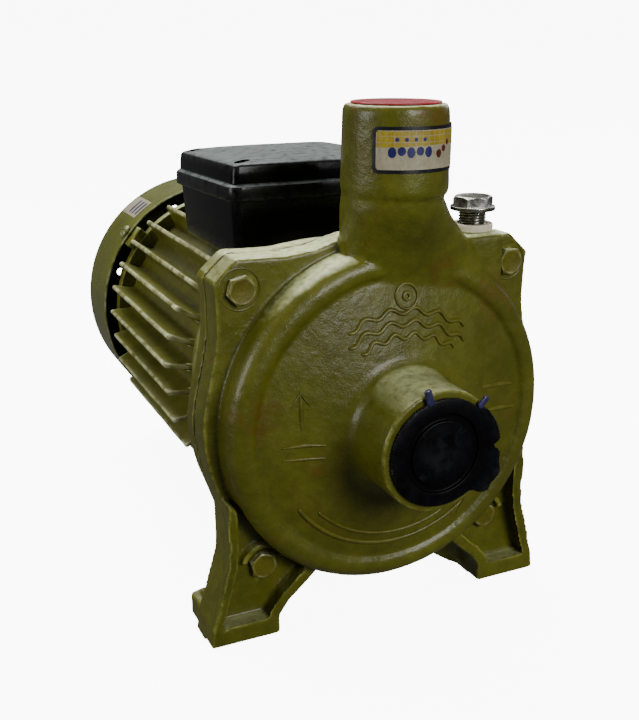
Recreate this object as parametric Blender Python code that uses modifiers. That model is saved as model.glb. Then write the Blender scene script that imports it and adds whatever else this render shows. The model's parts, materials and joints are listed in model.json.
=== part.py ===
"""Centrifugal water pump with a close-coupled electric motor, as separate named pieces.

Frame: +Z up, the suction port faces -Y, the motor lies towards +Y, and the floor is z = 0.
Lengths are in metres. Most pieces are placed from two empties: the seam, which is the joint between the
pump casing and the motor bracket, at floor level, and the shaft line, whose local Z runs back along the shaft
from the seam. So a piece's "y" below is its distance behind the seam.
"""

import math

import bmesh
import bpy
from mathutils import Matrix, Vector

# ---------------------------------------------------------------- driving dimensions
MM = 0.001
GAP = 0.3 * MM  # clearance between pieces that touch

AXIS_HEIGHT = 104.2 * MM
PUMP_FRONT = -73.7 * MM  # front of the suction plug
PUMP_REAR = 265.4 * MM  # rear of the fan cowl
SEAM_Y = -(PUMP_FRONT + PUMP_REAR) / 2  # puts the origin under the middle of the whole length
TOTAL_HEIGHT = 250.0 * MM

# Pump casing
FLANGE_FRONT = -15.0 * MM
FLANGE_REAR = -0.8 * MM
VOLUTE_RADIUS = 82.4 * MM
VOLUTE_FRONT = -33.0 * MM
CHAMBER_RADIUS = 74.0 * MM
LEG_FRONT = -24.0 * MM
FOOT_HEIGHT = 11.5 * MM
BOSS_FRONT = -71.5 * MM
BOSS_RADIUS = 28.5 * MM
PORT_RADIUS = 15.4 * MM  # thread core of a one inch pipe port
COLLAR_X = -0.3 * MM
COLLAR_Y = -25.6 * MM
COLLAR_TOP = 249.0 * MM
COLLAR_BOTTOM = 209.8 * MM
COLLAR_RADIUS = 23.3 * MM
COLLAR_SPREAD = 0.7 * MM  # how much wider it is at the bottom
CAP_RADIUS = 19.8 * MM
PRIMING_X = 49.0 * MM
PRIMING_Y = -14.0 * MM
PRIMING_TOP = 188.0 * MM
PRIMING_HOLE = 6.9 * MM
UPPER_BOLT = (70.0 * MM, 171.5 * MM)
LOWER_BOLT = (62.6 * MM, 35.5 * MM)

# Motor bracket and seal
BRACKET_FRONT = 0.8 * MM
BRACKET_REAR = 10.8 * MM
BARREL_RADIUS = 65.0 * MM
BARREL_END = 70.0 * MM
SEAL_CHAMBER = 17.0 * MM

# Shaft line
FRONT_BEARING = {"bore": 8.5 * MM, "outer": 20.0 * MM, "width": 12.0 * MM, "centre": 52.0 * MM}
REAR_BEARING = {"bore": 7.5 * MM, "outer": 17.5 * MM, "width": 11.0 * MM, "centre": 210.0 * MM}
RACE_GAP = 0.25 * MM
BALLS = 7
IMPELLER_RADIUS = 66.0 * MM
IMPELLER_VANES = 5
KEY_WIDTH = 4.0 * MM

# Motor
FRAME_FRONT = 70.3 * MM
FIN_FRONT = 77.0 * MM
FRAME_REAR = 207.0 * MM
DRUM_RADIUS = 64.0 * MM
FRAME_BORE = 58.3 * MM
FIN_RADIUS = 78.0 * MM
LOW_FINS = {-22: 80.5 * MM, -34: 82.5 * MM, -46: 82.0 * MM}  # angle: tip radius
FIN_THICKNESS = 3.0 * MM
FIN_ANGLES = (-58, -46, -34, -22, -10, 2, 14, 26, 38, 50, 62, 74)  # above the horizontal, on each side
STATOR_RADIUS = 57.9 * MM
STATOR_BORE = 31.0 * MM
STATOR_FRONT = 95.0 * MM
STATOR_REAR = 181.0 * MM
SLOTS = 12
ROTOR_RADIUS = 30.4 * MM
TIE_ROD_CIRCLE = 58.5 * MM
TIE_ROD_RADIUS = 2.4 * MM
SHIELD_FRONT = 207.4 * MM
SHIELD_REAR = 214.0 * MM
COWL_FRONT = 215.4 * MM
COWL_RADIUS = 79.8 * MM
COWL_SHEET = 1.2 * MM
COWL_SCREW_Y = 221.0 * MM
COWL_SCREW_ANGLES = (40, 140, 220, 320)
FAN_RADIUS = 68.0 * MM
FAN_BLADES = 7

# Terminal box
BOX_HALF_WIDTH = 50.0 * MM
BOX_FRONT = 45.0 * MM
BOX_REAR = 135.0 * MM
BOX_BOTTOM = 169.8 * MM
BOX_RIM = 204.0 * MM
LID_BOTTOM = 198.6 * MM
LIP_TOP = 206.2 * MM
LID_TOP = 220.0 * MM
BOX_WALL = 2.5 * MM
BOX_FLOOR = 172.8 * MM
WIRE_HOLE = (6.0 * MM, 103.0 * MM)
GLAND = (90.0 * MM, 182.0 * MM)  # y and z of the cable gland

# Motor support
SUPPORT_FRONT = 92.0 * MM
SUPPORT_REAR = 122.0 * MM
SUPPORT_TOP = 37.2 * MM
SUPPORT_SHEET = 3.0 * MM
PAD_BOTTOM = 37.5 * MM

FINE = 32  # sides of the largest round pieces
ROUND = 24
MEDIUM = 16
SMALL = 10  # sides of bolts and small holes

# Outlines in the front view, right half, in millimetres: x from the middle, z from the floor
FLANGE_TOP = [(0, 192), (10, 192), (23, 189), (33, 186), (47, 184.3), (60, 184.5), (71, 185)]
FLANGE_SIDE = [(82, 175), (81, 165), (80.8, 150), (83, 138), (85.3, 128), (88.5, 114), (89.3, 105),
               (88.3, 95), (85.5, 82), (82, 72.5)]
LEG_OUTSIDE = [(81, 62), (80.8, 50), (81.5, 41), (84.5, 31), (87.5, 20), (91, 10), (92.2, 0)]
LEG_INSIDE = [(56.6, 0), (56.8, 9.5), (51.4, 17), (46, 21.7), (39.7, 27.3), (30, 38)]
LEG_POCKET = [(38, 40), (44, 31), (49, 26), (55, 21), (61, 13.5), (62, 9.5), (86, 9.5), (83, 19), (80, 30),
              (77.4, 40), (76.4, 50), (77, 70)]
EAR_OUTLINE = [(77.5, 60), (75.5, 47), (74.5, 36), (71, 28), (64, 24.8), (55, 25.6), (46, 30.2)]
RING_BOTTOM = [(38, 33.8), (20, 26.7), (0, 24.2)]


# ---------------------------------------------------------------- scene set-up
def clear_scene():
    for obj in list(bpy.data.objects):
        bpy.data.objects.remove(obj, do_unlink=True)


def new_collection(name, parent):
    made = bpy.data.collections.new(name)
    parent.children.link(made)
    return made


clear_scene()
PARTS = new_collection("centrifugal_water_pump", bpy.context.scene.collection)
TOOLS = new_collection("cutters_and_joining_solids", bpy.context.scene.collection)


def new_empty(name, place, turn=(0.0, 0.0, 0.0)):
    empty = bpy.data.objects.new(name, None)
    empty.empty_display_size = 0.02
    empty.location = place
    empty.rotation_euler = turn
    PARTS.objects.link(empty)
    return empty


SEAM = new_empty("seam", (0, SEAM_Y, 0))
SHAFT_LINE = new_empty("shaft_line", (0, SEAM_Y, AXIS_HEIGHT), (-math.pi / 2, 0, 0))
SHAFT_CENTRE = new_empty("shaft_centre", (0, SEAM_Y, AXIS_HEIGHT))
COLLAR_LINE = new_empty("collar_line", (COLLAR_X, SEAM_Y + COLLAR_Y, 0))
PRIMING_LINE = new_empty("priming_line", (PRIMING_X, SEAM_Y + PRIMING_Y, 0))


def material(name, colour, roughness, metallic=0.0):
    made = bpy.data.materials.new(name)
    made.use_nodes = True
    shader = made.node_tree.nodes["Principled BSDF"]
    shader.inputs["Base Color"].default_value = (*colour, 1.0)
    shader.inputs["Roughness"].default_value = roughness
    shader.inputs["Metallic"].default_value = metallic
    made.diffuse_color = (*colour, 1.0)
    return made


GREEN_CASTING = material("green_enamel_on_casting", (0.21, 0.21, 0.055), 0.35)
GREEN_SHEET = material("green_enamel_on_sheet", (0.22, 0.22, 0.065), 0.3)
BLACK_PLASTIC = material("black_plastic", (0.012, 0.013, 0.014), 0.35)
RED_PLASTIC = material("red_plastic", (0.5, 0.02, 0.015), 0.45)
RUBBER = material("black_rubber", (0.02, 0.02, 0.02), 0.8)
FIBRE = material("pale_fibre", (0.6, 0.6, 0.55), 0.7)
ZINC = material("zinc_plated_steel", (0.6, 0.6, 0.55), 0.35, 1.0)
STEEL = material("steel", (0.55, 0.55, 0.55), 0.3, 1.0)
STAINLESS = material("stainless_steel", (0.65, 0.64, 0.62), 0.25, 1.0)
LAMINATION = material("silicon_steel", (0.25, 0.25, 0.26), 0.5, 1.0)
COPPER = material("varnished_copper", (0.6, 0.25, 0.1), 0.4, 0.8)
BRASS = material("brass", (0.65, 0.45, 0.15), 0.35, 1.0)
CERAMIC = material("ceramic", (0.8, 0.78, 0.72), 0.3)
GREY_PLASTIC = material("grey_plastic", (0.3, 0.3, 0.3), 0.5)


# ---------------------------------------------------------------- modelling helpers
def add_object(name, mesh, finish, parent):
    """A node if it has a finish, otherwise a hidden solid that cuts or joins nodes."""
    obj = bpy.data.objects.new(name, mesh)
    obj.parent = parent
    if finish:
        mesh.materials.append(finish)
        PARTS.objects.link(obj)
    else:
        obj.hide_render = True
        obj.display_type = "WIRE"
        TOOLS.objects.link(obj)
    return obj


def boolean(target, operation, others, solver="EXACT"):
    for other in others:
        step = target.modifiers.new(f"{operation.lower()}_{other.name}"[:60], "BOOLEAN")
        step.operation = operation
        step.solver = solver
        step.object = other
    return target


def cut(target, *others, solver="EXACT"):
    return boolean(target, "DIFFERENCE", others, solver)


def join(target, *others):
    return boolean(target, "UNION", others)


def soften(target, width, segments=1):
    step = target.modifiers.new("rounded_edges", "BEVEL")
    step.width = width
    step.segments = segments
    step.limit_method = "ANGLE"
    step.angle_limit = math.radians(40)
    return target


def signed_area(points):
    following = points[1:] + points[:1]
    return sum(a[0] * b[1] - b[0] * a[1] for a, b in zip(points, following)) / 2


def turned(name, profile, steps=ROUND, finish=None, parent=SHAFT_LINE):
    """A (radius, height) profile turned about local Z. It closes on itself unless it ends on the axis."""
    points = list(profile)
    if signed_area(points) > 0:
        points.reverse()
    on_axis = points[0][0] == 0 or points[-1][0] == 0
    while on_axis and not (points[0][0] == 0 and points[-1][0] == 0):
        points = points[1:] + points[:1]
    count = len(points)
    edges = [(i, i + 1) for i in range(count - 1)]
    if not on_axis:
        edges.append((count - 1, 0))
    mesh = bpy.data.meshes.new(name)
    mesh.from_pydata([(radius, 0, height) for radius, height in points], edges, [])
    obj = add_object(name, mesh, finish, parent)
    screw = obj.modifiers.new("turn", "SCREW")
    screw.steps = steps
    screw.render_steps = steps
    screw.use_merge_vertices = True
    screw.merge_threshold = 0.00001
    screw.use_smooth_shade = True
    return obj


def settle(mesh):
    """Rounds corners to a tenth of a micron, so that faces meant to lie in one plane do."""
    for vertex in mesh.vertices:
        vertex.co = [round(value, 7) for value in vertex.co]


def ring(inner, outer, low, high):
    return [(inner, high), (outer, high), (outer, low), (inner, low)]


def disc(radius, low, high):
    return [(0, high), (radius, high), (radius, low), (0, low)]


def rod(name, start, end, radius, sides=SMALL, finish=None, parent=SEAM):
    """A straight round bar between two points."""
    run = Vector(end) - Vector(start)
    shape = bmesh.new()
    bmesh.ops.create_cone(shape, cap_ends=True, segments=sides, radius1=radius, radius2=radius,
                          depth=run.length)
    mesh = bpy.data.meshes.new(name)
    shape.to_mesh(mesh)
    shape.free()
    middle = (Vector(start) + Vector(end)) / 2
    mesh.transform(Matrix.Translation(middle) @ run.to_track_quat("Z", "Y").to_matrix().to_4x4())
    settle(mesh)
    return add_object(name, mesh, finish, parent)


def block(name, low, high, finish=None, parent=SEAM, spin=0.0):
    """A box between two corners, turned by spin about its parent's Y axis."""
    shape = bmesh.new()
    bmesh.ops.create_cube(shape, size=1.0)
    mesh = bpy.data.meshes.new(name)
    shape.to_mesh(mesh)
    shape.free()
    size = [b - a for a, b in zip(low, high)]
    middle = [(a + b) / 2 for a, b in zip(low, high)]
    mesh.transform(Matrix.Translation(middle) @ Matrix.Diagonal((*size, 1.0)))
    settle(mesh)
    obj = add_object(name, mesh, finish, parent)
    obj.rotation_euler = (0, spin, 0)
    return obj


VIEWS = {
    "front": Matrix(((1, 0, 0), (0, 0, -1), (0, 1, 0))),  # outline (x, z), thickness along Y
    "side": Matrix(((0, 0, 1), (1, 0, 0), (0, 1, 0))),  # outline (y, z), thickness along X
    "top": Matrix.Identity(3),  # outline (x, y), thickness along Z
}


def outline_solid(name, outlines, low, high, view="front", finish=None, parent=SEAM, spin=0.0):
    """Flat outlines, an inner one being a hole, extruded from low to high across their view."""
    drawing = bpy.data.curves.new(name + "_outline", "CURVE")
    drawing.dimensions = "2D"
    drawing.fill_mode = "BOTH"
    drawing.extrude = (high - low) / 2
    for outline in outlines:
        spline = drawing.splines.new("POLY")
        spline.points.add(len(outline) - 1)
        spline.use_cyclic_u = True
        for point, (across, up) in zip(spline.points, outline):
            point.co = (across, up, 0, 1)
    facing = VIEWS[view]
    normal = Vector([abs(part) for part in facing.col[2]])
    guide = bpy.data.objects.new(name + "_outline", drawing)
    TOOLS.objects.link(guide)
    guide.matrix_world = Matrix.Translation(normal * (low + high) / 2) @ facing.to_4x4()
    bpy.context.view_layer.update()
    mesh = bpy.data.meshes.new_from_object(guide.evaluated_get(bpy.context.evaluated_depsgraph_get()))
    mesh.name = name
    mesh.transform(guide.matrix_world)
    shape = bmesh.new()
    shape.from_mesh(mesh)
    bmesh.ops.remove_doubles(shape, verts=shape.verts, dist=1e-6)
    bmesh.ops.recalc_face_normals(shape, faces=shape.faces)
    shape.to_mesh(mesh)
    shape.free()
    mesh.materials.clear()
    bpy.data.objects.remove(guide)
    settle(mesh)
    obj = add_object(name, mesh, finish, parent)
    obj.rotation_euler = (0, spin, 0)
    return obj


def loft(name, sections, parent):
    """A closed skin over level sections, each a list of points with the same count, from the lowest up."""
    shape = bmesh.new()
    loops = [[shape.verts.new(point) for point in section] for section in sections]
    for lower, upper in zip(loops, loops[1:]):
        for i in range(len(lower)):
            j = (i + 1) % len(lower)
            shape.faces.new((lower[i], lower[j], upper[j], upper[i]))
    shape.faces.new(list(reversed(loops[0])))
    shape.faces.new(loops[-1])
    mesh = bpy.data.meshes.new(name)
    shape.to_mesh(mesh)
    shape.free()
    return add_object(name, mesh, None, parent)


def circle(radius, sides, centre=(0.0, 0.0)):
    angles = [2 * math.pi * i / sides for i in range(sides)]
    return [(centre[0] + radius * math.cos(a), centre[1] + radius * math.sin(a)) for a in angles]


def whole_outline(right_half):
    """A symmetric outline in metres from its right half in millimetres, from the top middle down."""
    left_half = [(-x, z) for x, z in reversed(right_half) if x > 0]
    return [(x * MM, z * MM) for x, z in right_half + left_half]


def mirrored(points):
    return [(-x, z) for x, z in reversed(points)]


def in_metres(points):
    return [(x * MM, z * MM) for x, z in points]


def around(angle_deg, radius):
    """Front-view point at an angle above the right-hand horizontal, measured from the shaft."""
    angle = math.radians(angle_deg)
    return radius * math.cos(angle), radius * math.sin(angle)


def hex_fastener(name, head_radius, head, shank_radius, shank, finish, parent, centre=(0.0, 0.0),
                 sides=SMALL):
    """A hexagon head and a round shank, both along the parent's local Z, given as (low, high) heights."""
    body = turned(name, disc(head_radius, *head), 6, finish, parent)
    body.location = (centre[0], centre[1], 0)
    stem = turned(name + "_shank", disc(shank_radius, *shank), sides, None, parent)
    stem.location = body.location
    return join(body, stem)


# ---------------------------------------------------------------- pump casing
def bolt_places():
    """The four casing bolts as (x, z) in the front view."""
    return [(side * x, z) for x, z in (UPPER_BOLT, LOWER_BOLT) for side in (-1, 1)]


def casing_drum():
    """The round volute body with its bull-nosed rim, domed face and suction boss."""
    nose = 8.0 * MM
    steps = 3
    rim = [(VOLUTE_RADIUS - nose + nose * math.cos(a), VOLUTE_FRONT + nose - nose * math.sin(a))
           for a in (math.pi / 2 * i / steps for i in range(steps + 1))]
    face = in_metres([
        (72, -32.6), (70, -30.8), (68, -31.4), (50, -35.6), (34, -39.5), (30.2, -42), (28.5, -46)])
    boss = [(BOSS_RADIUS, BOSS_FRONT + 2.2 * MM), (BOSS_RADIUS - 1.5 * MM, BOSS_FRONT), (0, BOSS_FRONT)]
    inside_flange = FLANGE_REAR - GAP
    rear = [(0, inside_flange), (VOLUTE_RADIUS, inside_flange)]
    return turned("pump_casing", rear + rim + face + boss, FINE, GREEN_CASTING)


def casing_flange():
    """The flange and the backs of both legs, as one plate."""
    outline = whole_outline(FLANGE_TOP + FLANGE_SIDE + LEG_OUTSIDE + LEG_INSIDE)
    return outline_solid("flange_plate", [outline], FLANGE_FRONT, FLANGE_REAR)


def casing_leg(side):
    """A leg's raised rim, a hood over its bolt head and a foot that reaches back under the seam."""
    orient = mirrored if side < 0 else list
    label = "left" if side < 0 else "right"
    edge = [(82, 74)] + LEG_OUTSIDE + LEG_INSIDE + LEG_POCKET
    rim = outline_solid(f"{label}_leg_rim", [orient(in_metres(edge))], LEG_FRONT, FLANGE_FRONT + MM)
    hood_angles = [math.radians(20 + 140 * i / 6) for i in range(7)]
    hood = [(LOWER_BOLT[0] + 11.5 * MM * math.cos(a),
            LOWER_BOLT[1] + 11.5 * MM * math.sin(a)) for a in hood_angles]
    hood += [(LOWER_BOLT[0] + 8.8 * MM * math.cos(a), LOWER_BOLT[1] + 8.8 * MM * math.sin(a))
             for a in reversed(hood_angles)]
    arch = outline_solid(f"{label}_bolt_hood", [orient(hood)], FLANGE_FRONT - 6 * MM, FLANGE_FRONT + 2 * MM)
    sole = in_metres([(59, -8), (90, -8), (90.6, 14), (50, 14), (53, 3)])
    foot = outline_solid(f"{label}_foot", [orient(sole)], 0.0, FOOT_HEIGHT, view="top")
    slope = in_metres([(-9, 4), (13.6, 4), (13.6, 12), (7, 14), (2.5, 19), (-2, 24), (-9, 23)])
    edges = sorted((side * 54 * MM, side * 86.5 * MM))
    heel = outline_solid(f"{label}_heel", [slope], *edges, view="side")
    hole = rod(f"{label}_foot_hole", (side * 72 * MM, 7.5 * MM, -MM), (side * 72 * MM, 7.5 * MM, 30 * MM),
               4 * MM)
    return [rim, arch, foot, heel], hole


def superellipse(x_low, x_high, y_low, y_high, z, power, sides=20):
    half_x, half_y = (x_high - x_low) / 2, (y_high - y_low) / 2
    points = []
    for i in range(sides):
        angle = 2 * math.pi * i / sides
        c, s = math.cos(angle), math.sin(angle)
        x = (x_low + x_high) / 2 + half_x * math.copysign(abs(c) ** (2 / power), c)
        y = (y_low + y_high) / 2 + half_y * math.copysign(abs(s) ** (2 / power), s)
        points.append((x, y, z))
    return points


def discharge_neck():
    """Tangential neck: round under the collar, spreading to the right as it runs down into the volute."""
    levels = [  # z, left, right, front, rear, squareness, in millimetres
        (148, -28, 60, -28, -3.2, 3.0), (163, -28, 58.2, -31, -2.6, 3.0), (175, -27.3, 47.4, -32.6, -2.5, 2.6),
        (187, -26.4, 37.2, -37, -2.4, 2.3), (198, -26, 29.2, -44.2, -2.3, 2.2), (211, -26, 24.3, -49, -2.5, 2.0),
    ]
    sections = [superellipse(left * MM, right * MM, front * MM, rear * MM, z * MM, power)
                for z, left, right, front, rear, power in levels]
    return loft("discharge_neck", sections, SEAM)


def discharge_collar():
    foot = COLLAR_RADIUS + COLLAR_SPREAD
    profile = [(0, COLLAR_TOP), (COLLAR_RADIUS - 1.6 * MM, COLLAR_TOP),
               (COLLAR_RADIUS - 0.4 * MM, COLLAR_TOP - 1.2 * MM), (COLLAR_RADIUS, COLLAR_TOP - 3 * MM),
               (foot, COLLAR_BOTTOM + 2.8 * MM),
               (foot - 1.1 * MM, COLLAR_BOTTOM + 0.8 * MM), (foot - 3 * MM, COLLAR_BOTTOM),
               (0, COLLAR_BOTTOM)]
    return turned("discharge_collar", profile, ROUND, None, COLLAR_LINE)


def priming_boss():
    low = (30 * MM, -27 * MM, 150 * MM)
    high = (60.5 * MM, -3 * MM, PRIMING_TOP)
    return soften(block("priming_boss", low, high), 2.0 * MM)


def water_passages():
    """Impeller chamber, suction eye and port, discharge passage and port, and the priming hole."""
    rear = 2.0 * MM
    chamber = turned("impeller_chamber", [(0, rear), (CHAMBER_RADIUS, rear)] + in_metres([
        (74, -17), (72, -22), (68, -25.5), (33, -33.2), (19.6, -35.5), (19.6, -42), (14, -43.5), (14, -54),
        (15.4, -55.4)]) + [(PORT_RADIUS, BOSS_FRONT - MM), (0, BOSS_FRONT - MM)], ROUND)
    mouth = turned("discharge_port", disc(PORT_RADIUS, 227 * MM, COLLAR_TOP + MM), ROUND, None, COLLAR_LINE)
    start = (COLLAR_X, COLLAR_Y, 230 * MM)
    end = (3 * MM, -14 * MM, 162 * MM)
    passage = rod("discharge_passage", start, end, 11.5 * MM, MEDIUM)
    priming = turned(
        "priming_hole", disc(PRIMING_HOLE, 150 * MM, PRIMING_TOP + MM), MEDIUM, None, PRIMING_LINE)
    return [chamber, mouth, passage, priming]


def bolt_holes(name, radius, low, high):
    return [rod(f"{name}_{i}", (x, low, z), (x, high, z), radius)
            for i, (x, z) in enumerate(bolt_places(), 1)]


def build_casing():
    casing = casing_drum()
    left, left_hole = casing_leg(-1)
    right, right_hole = casing_leg(1)
    join(casing, casing_flange(), *left, *right, discharge_neck(), discharge_collar(), priming_boss())
    cut(casing, *water_passages(), left_hole, right_hole, solver="MANIFOLD")
    cut(casing, *bolt_holes("casing_bolt_hole", 4.4 * MM, FLANGE_FRONT - 8 * MM, MM))


def build_casing_gasket():
    outline = whole_outline(FLANGE_TOP[2:] + FLANGE_SIDE + EAR_OUTLINE + RING_BOTTOM)
    shrunk = [(x * 0.994, AXIS_HEIGHT + (z - AXIS_HEIGHT) * 0.994) for x, z in outline]
    holes = [circle(4.6 * MM, SMALL, place) for place in bolt_places()]
    bore = circle(75 * MM, FINE, (0, AXIS_HEIGHT))
    outline_solid("casing_gasket", [shrunk, bore] + holes, -0.5 * MM, 0.5 * MM, finish=RUBBER)


def build_casing_bolts():
    for i, (x, z) in enumerate(bolt_places(), 1):
        head = (FLANGE_FRONT - 4.6 * MM, FLANGE_FRONT - GAP)
        shank = (FLANGE_FRONT - MM, BRACKET_REAR - GAP)
        hex_fastener(f"casing_bolt_{i}", 7.2 * MM, head, 4.0 * MM, shank, GREEN_CASTING, SHAFT_LINE,
                     (x, AXIS_HEIGHT - z))


# ---------------------------------------------------------------- port plugs and priming plug
def build_port_plugs():
    face = PUMP_FRONT
    flange_back = BOSS_FRONT - GAP
    groove = face + 1.4 * MM
    turned("suction_plug", [
        (0, face), (15.0 * MM, face), (15.3 * MM, groove), (18.2 * MM, groove), (18.5 * MM, face),
        (24.6 * MM, face), (25.2 * MM, face + 0.6 * MM), (25.2 * MM, flange_back), (15.0 * MM, flange_back),
        (15.0 * MM, -58 * MM), (13.2 * MM, -58 * MM), (13.2 * MM, -71.6 * MM), (0, -71.6 * MM)],
        ROUND, BLACK_PLASTIC)
    top = TOTAL_HEIGHT
    underside = COLLAR_TOP + GAP
    turned("discharge_cap", [
        (0, top), (CAP_RADIUS, top), (CAP_RADIUS, underside), (15.0 * MM, underside), (15.0 * MM, 238 * MM),
        (13.4 * MM, 238 * MM), (13.4 * MM, top - 1.6 * MM), (0, top - 1.6 * MM)], ROUND, RED_PLASTIC,
        COLLAR_LINE)


def build_priming_plug():
    plug = hex_fastener("priming_plug", 10.3 * MM, (199.4 * MM, 204.6 * MM), 6.6 * MM,
                        (182.6 * MM, 199 * MM), ZINC,
                        PRIMING_LINE)
    collar = turned("priming_plug_collar", disc(11.8 * MM, 198.0 * MM, 199.8 * MM), MEDIUM, None,
                    PRIMING_LINE)
    join(plug, collar)
    turned("priming_washer", ring(6.9 * MM, 9.9 * MM, PRIMING_TOP + GAP, 191.8 * MM), MEDIUM, FIBRE,
           PRIMING_LINE)


# ---------------------------------------------------------------- motor bracket
def tie_rod_places():
    """The four tie rods as (x, height above the shaft) in the front view."""
    return [around(angle, TIE_ROD_CIRCLE) for angle in (45, 135, 225, 315)]


def tie_rod_holes(name, radius, low, high):
    return [rod(f"{name}_{i}", (x, low, z), (x, high, z), radius, 12, None, SHAFT_CENTRE)
            for i, (x, z) in enumerate(tie_rod_places(), 1)]


def build_bracket():
    """Flange plate, barrel, seal chamber and front bearing housing in one casting."""
    barrel = turned("motor_bracket", in_metres([
        (8.6, 27), (8.6, 24), (13.3, 24), (13.3, 4), (62, 4), (65, 8), (65, 70), (60, 70),
        (60, 58), (27, 58), (27, 60), (20.15, 60), (20.15, 45.5), (14, 45.5), (14, 43), (24, 43), (27, 50),
        (57, 50), (57, 13), (22, 13), (22, 27)]), ROUND, GREEN_CASTING)
    outline = whole_outline([(23, 186.6)] + FLANGE_TOP[3:] + FLANGE_SIDE + EAR_OUTLINE + RING_BOTTOM)
    plate = outline_solid("bracket_plate", [outline], BRACKET_FRONT, BRACKET_REAR)
    join(barrel, plate)
    cut(barrel, turned("seal_chamber", disc(SEAL_CHAMBER, 0, 17 * MM), ROUND))
    window = block("drain_window", (-18 * MM, 20 * MM, -90 * MM), (18 * MM, 42 * MM, -30 * MM), None,
                   SHAFT_CENTRE)
    cut(barrel, window, *bolt_holes("bracket_bolt_hole", 4.35 * MM, 0, BRACKET_REAR + 6 * MM))
    cut(barrel, *tie_rod_holes("bracket_rod_hole", 2.7 * MM, 51.5 * MM, BARREL_END + MM))


# ---------------------------------------------------------------- shaft seal, impeller and shaft
def build_seal():
    turned("seal_seat", in_metres([(8.2, 16.7), (12.9, 16.7), (12.9, 23.7), (8.2, 23.7)]), MEDIUM, CERAMIC)
    turned("seal_rotating_head", in_metres([
        (7.3, 16.4), (10.6, 16.4), (10.6, 14.6), (12.2, 14.6), (12.2, 10.6), (7.3, 10.6)]), MEDIUM, RUBBER)
    turns, per_turn, wire, radius = 2, 9, 0.7 * MM, 10.2 * MM
    low, high = 4.3 * MM, 9.5 * MM
    path = bpy.data.curves.new("seal_spring_path", "CURVE")
    path.dimensions = "3D"
    path.bevel_depth = wire
    path.bevel_resolution = 1
    path.use_fill_caps = True
    spline = path.splines.new("POLY")
    count = turns * per_turn + 1
    spline.points.add(count - 1)
    for i, point in enumerate(spline.points):
        angle = 2 * math.pi * i / per_turn
        height = low + (high - low) * i / (count - 1)
        point.co = (radius * math.cos(angle), radius * math.sin(angle), height, 1)
    path.materials.append(STAINLESS)
    spring = bpy.data.objects.new("seal_spring", path)
    spring.parent = SHAFT_LINE
    PARTS.objects.link(spring)


def impeller_vanes():
    """Backward-curved vanes between the two shrouds, trimmed to the slope of the front one."""
    outlines = []
    inner, outer, thickness, sweep, points = 24 * MM, 65.2 * MM, 3 * MM, math.radians(75), 6
    for vane in range(IMPELLER_VANES):
        start = 2 * math.pi * vane / IMPELLER_VANES
        back, front = [], []
        for i in range(points):
            share = i / (points - 1)
            radius = inner + (outer - inner) * share
            angle = start - sweep * share ** 0.85
            half = thickness / 2 / radius
            back.append((radius * math.cos(angle - half), radius * math.sin(angle - half)))
            front.append((radius * math.cos(angle + half), radius * math.sin(angle + half)))
        outlines.append(back + front[::-1])
    vanes = outline_solid("impeller_vanes", outlines, -32 * MM, -3.6 * MM, parent=SHAFT_CENTRE)
    ahead = turned("space_ahead_of_vanes", in_metres([(0, -31.35), (90, -10.3), (90, -60), (0, -60)]), ROUND)
    return cut(vanes, ahead)


def key_space(name, bore_side):
    """The keyway that the key leaves, in the shaft or in the impeller's bore."""
    low, high = (3.4, 7.0) if bore_side == "shaft" else (5.0, 8.5)
    half = KEY_WIDTH / 2 + GAP
    return block(name, (-half, -11 * MM, low * MM), (half, 2.0 * MM, high * MM), None, SHAFT_CENTRE)


def build_impeller():
    impeller = turned("impeller", in_metres([
        (6.3, 3), (12, 3), (12, -2), (66, -2), (66, -4.5), (22, -4.5), (13, -8), (11, -13), (6.3, -13)]),
        ROUND, BRASS)
    front = turned("impeller_front_shroud", in_metres([
        (66, -14.6), (66, -17.2), (22, -27.6), (19.1, -29), (19.1, -40), (16.4, -40), (16.4, -26.8),
        (22, -24.8)]))
    join(impeller, impeller_vanes(), front)
    cut(impeller, key_space("impeller_keyway", "impeller"))
    half = KEY_WIDTH / 2
    block("impeller_key", (-half, -10.7 * MM, 3.7 * MM), (half, 1.7 * MM, 8.1 * MM), STEEL, SHAFT_CENTRE)
    nut = turned("impeller_nut", disc(9.6 * MM, -19.6 * MM, -13.3 * MM), 6, STAINLESS)
    cut(nut, turned("nut_bore", disc(5.35 * MM, -21 * MM, -12 * MM), MEDIUM))


def build_shaft():
    shaft = turned("shaft", in_metres([
        (0, -22), (5, -22), (5, -12.9), (6, -12.9), (6, 3.8), (7, 3.8), (7, 44.8), (8.25, 44.8),
        (8.25, 58.5), (10.5, 58.5), (10.5, 80), (10, 80), (10, 203.7), (7.25, 203.7),
        (7.25, 216.5), (6.8, 216.5), (6.8, 251.2), (6, 252), (0, 252)]), MEDIUM, STAINLESS)
    cut(shaft, key_space("shaft_keyway", "shaft"))
    groove = turned("circlip_groove", ring(6.0 * MM, 9.0 * MM, 248.4 * MM, 249.6 * MM), MEDIUM)
    cut(shaft, groove)
    turned("slinger", in_metres([(7.3, 31), (10.5, 31), (10.5, 34), (13.6, 34.6), (13.6, 36.4), (7.3, 36.4)]),
           MEDIUM, RUBBER)
    clip = turned("fan_circlip", ring(6.3 * MM, 9.2 * MM, 248.7 * MM, 249.3 * MM), MEDIUM, STEEL)
    cut(clip, block("circlip_opening", (-1.5 * MM, 247 * MM, 0), (1.5 * MM, 251 * MM, 12 * MM), None,
        SHAFT_CENTRE))


# ---------------------------------------------------------------- ball bearings
def race_profile(edge, pitch, ball, half_width, outward):
    """A race's section: its plain edge, and a groove that leaves a small gap round the balls."""
    groove = [(1.08, 0.45), (1.08, -0.45)]
    inside = [(pitch + outward * ball * r, ball * h) for r, h in groove]
    land = pitch + outward * ball * 0.7
    return [(edge, half_width), (land, half_width)] + inside + [(land, -half_width), (edge, -half_width)]


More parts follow.
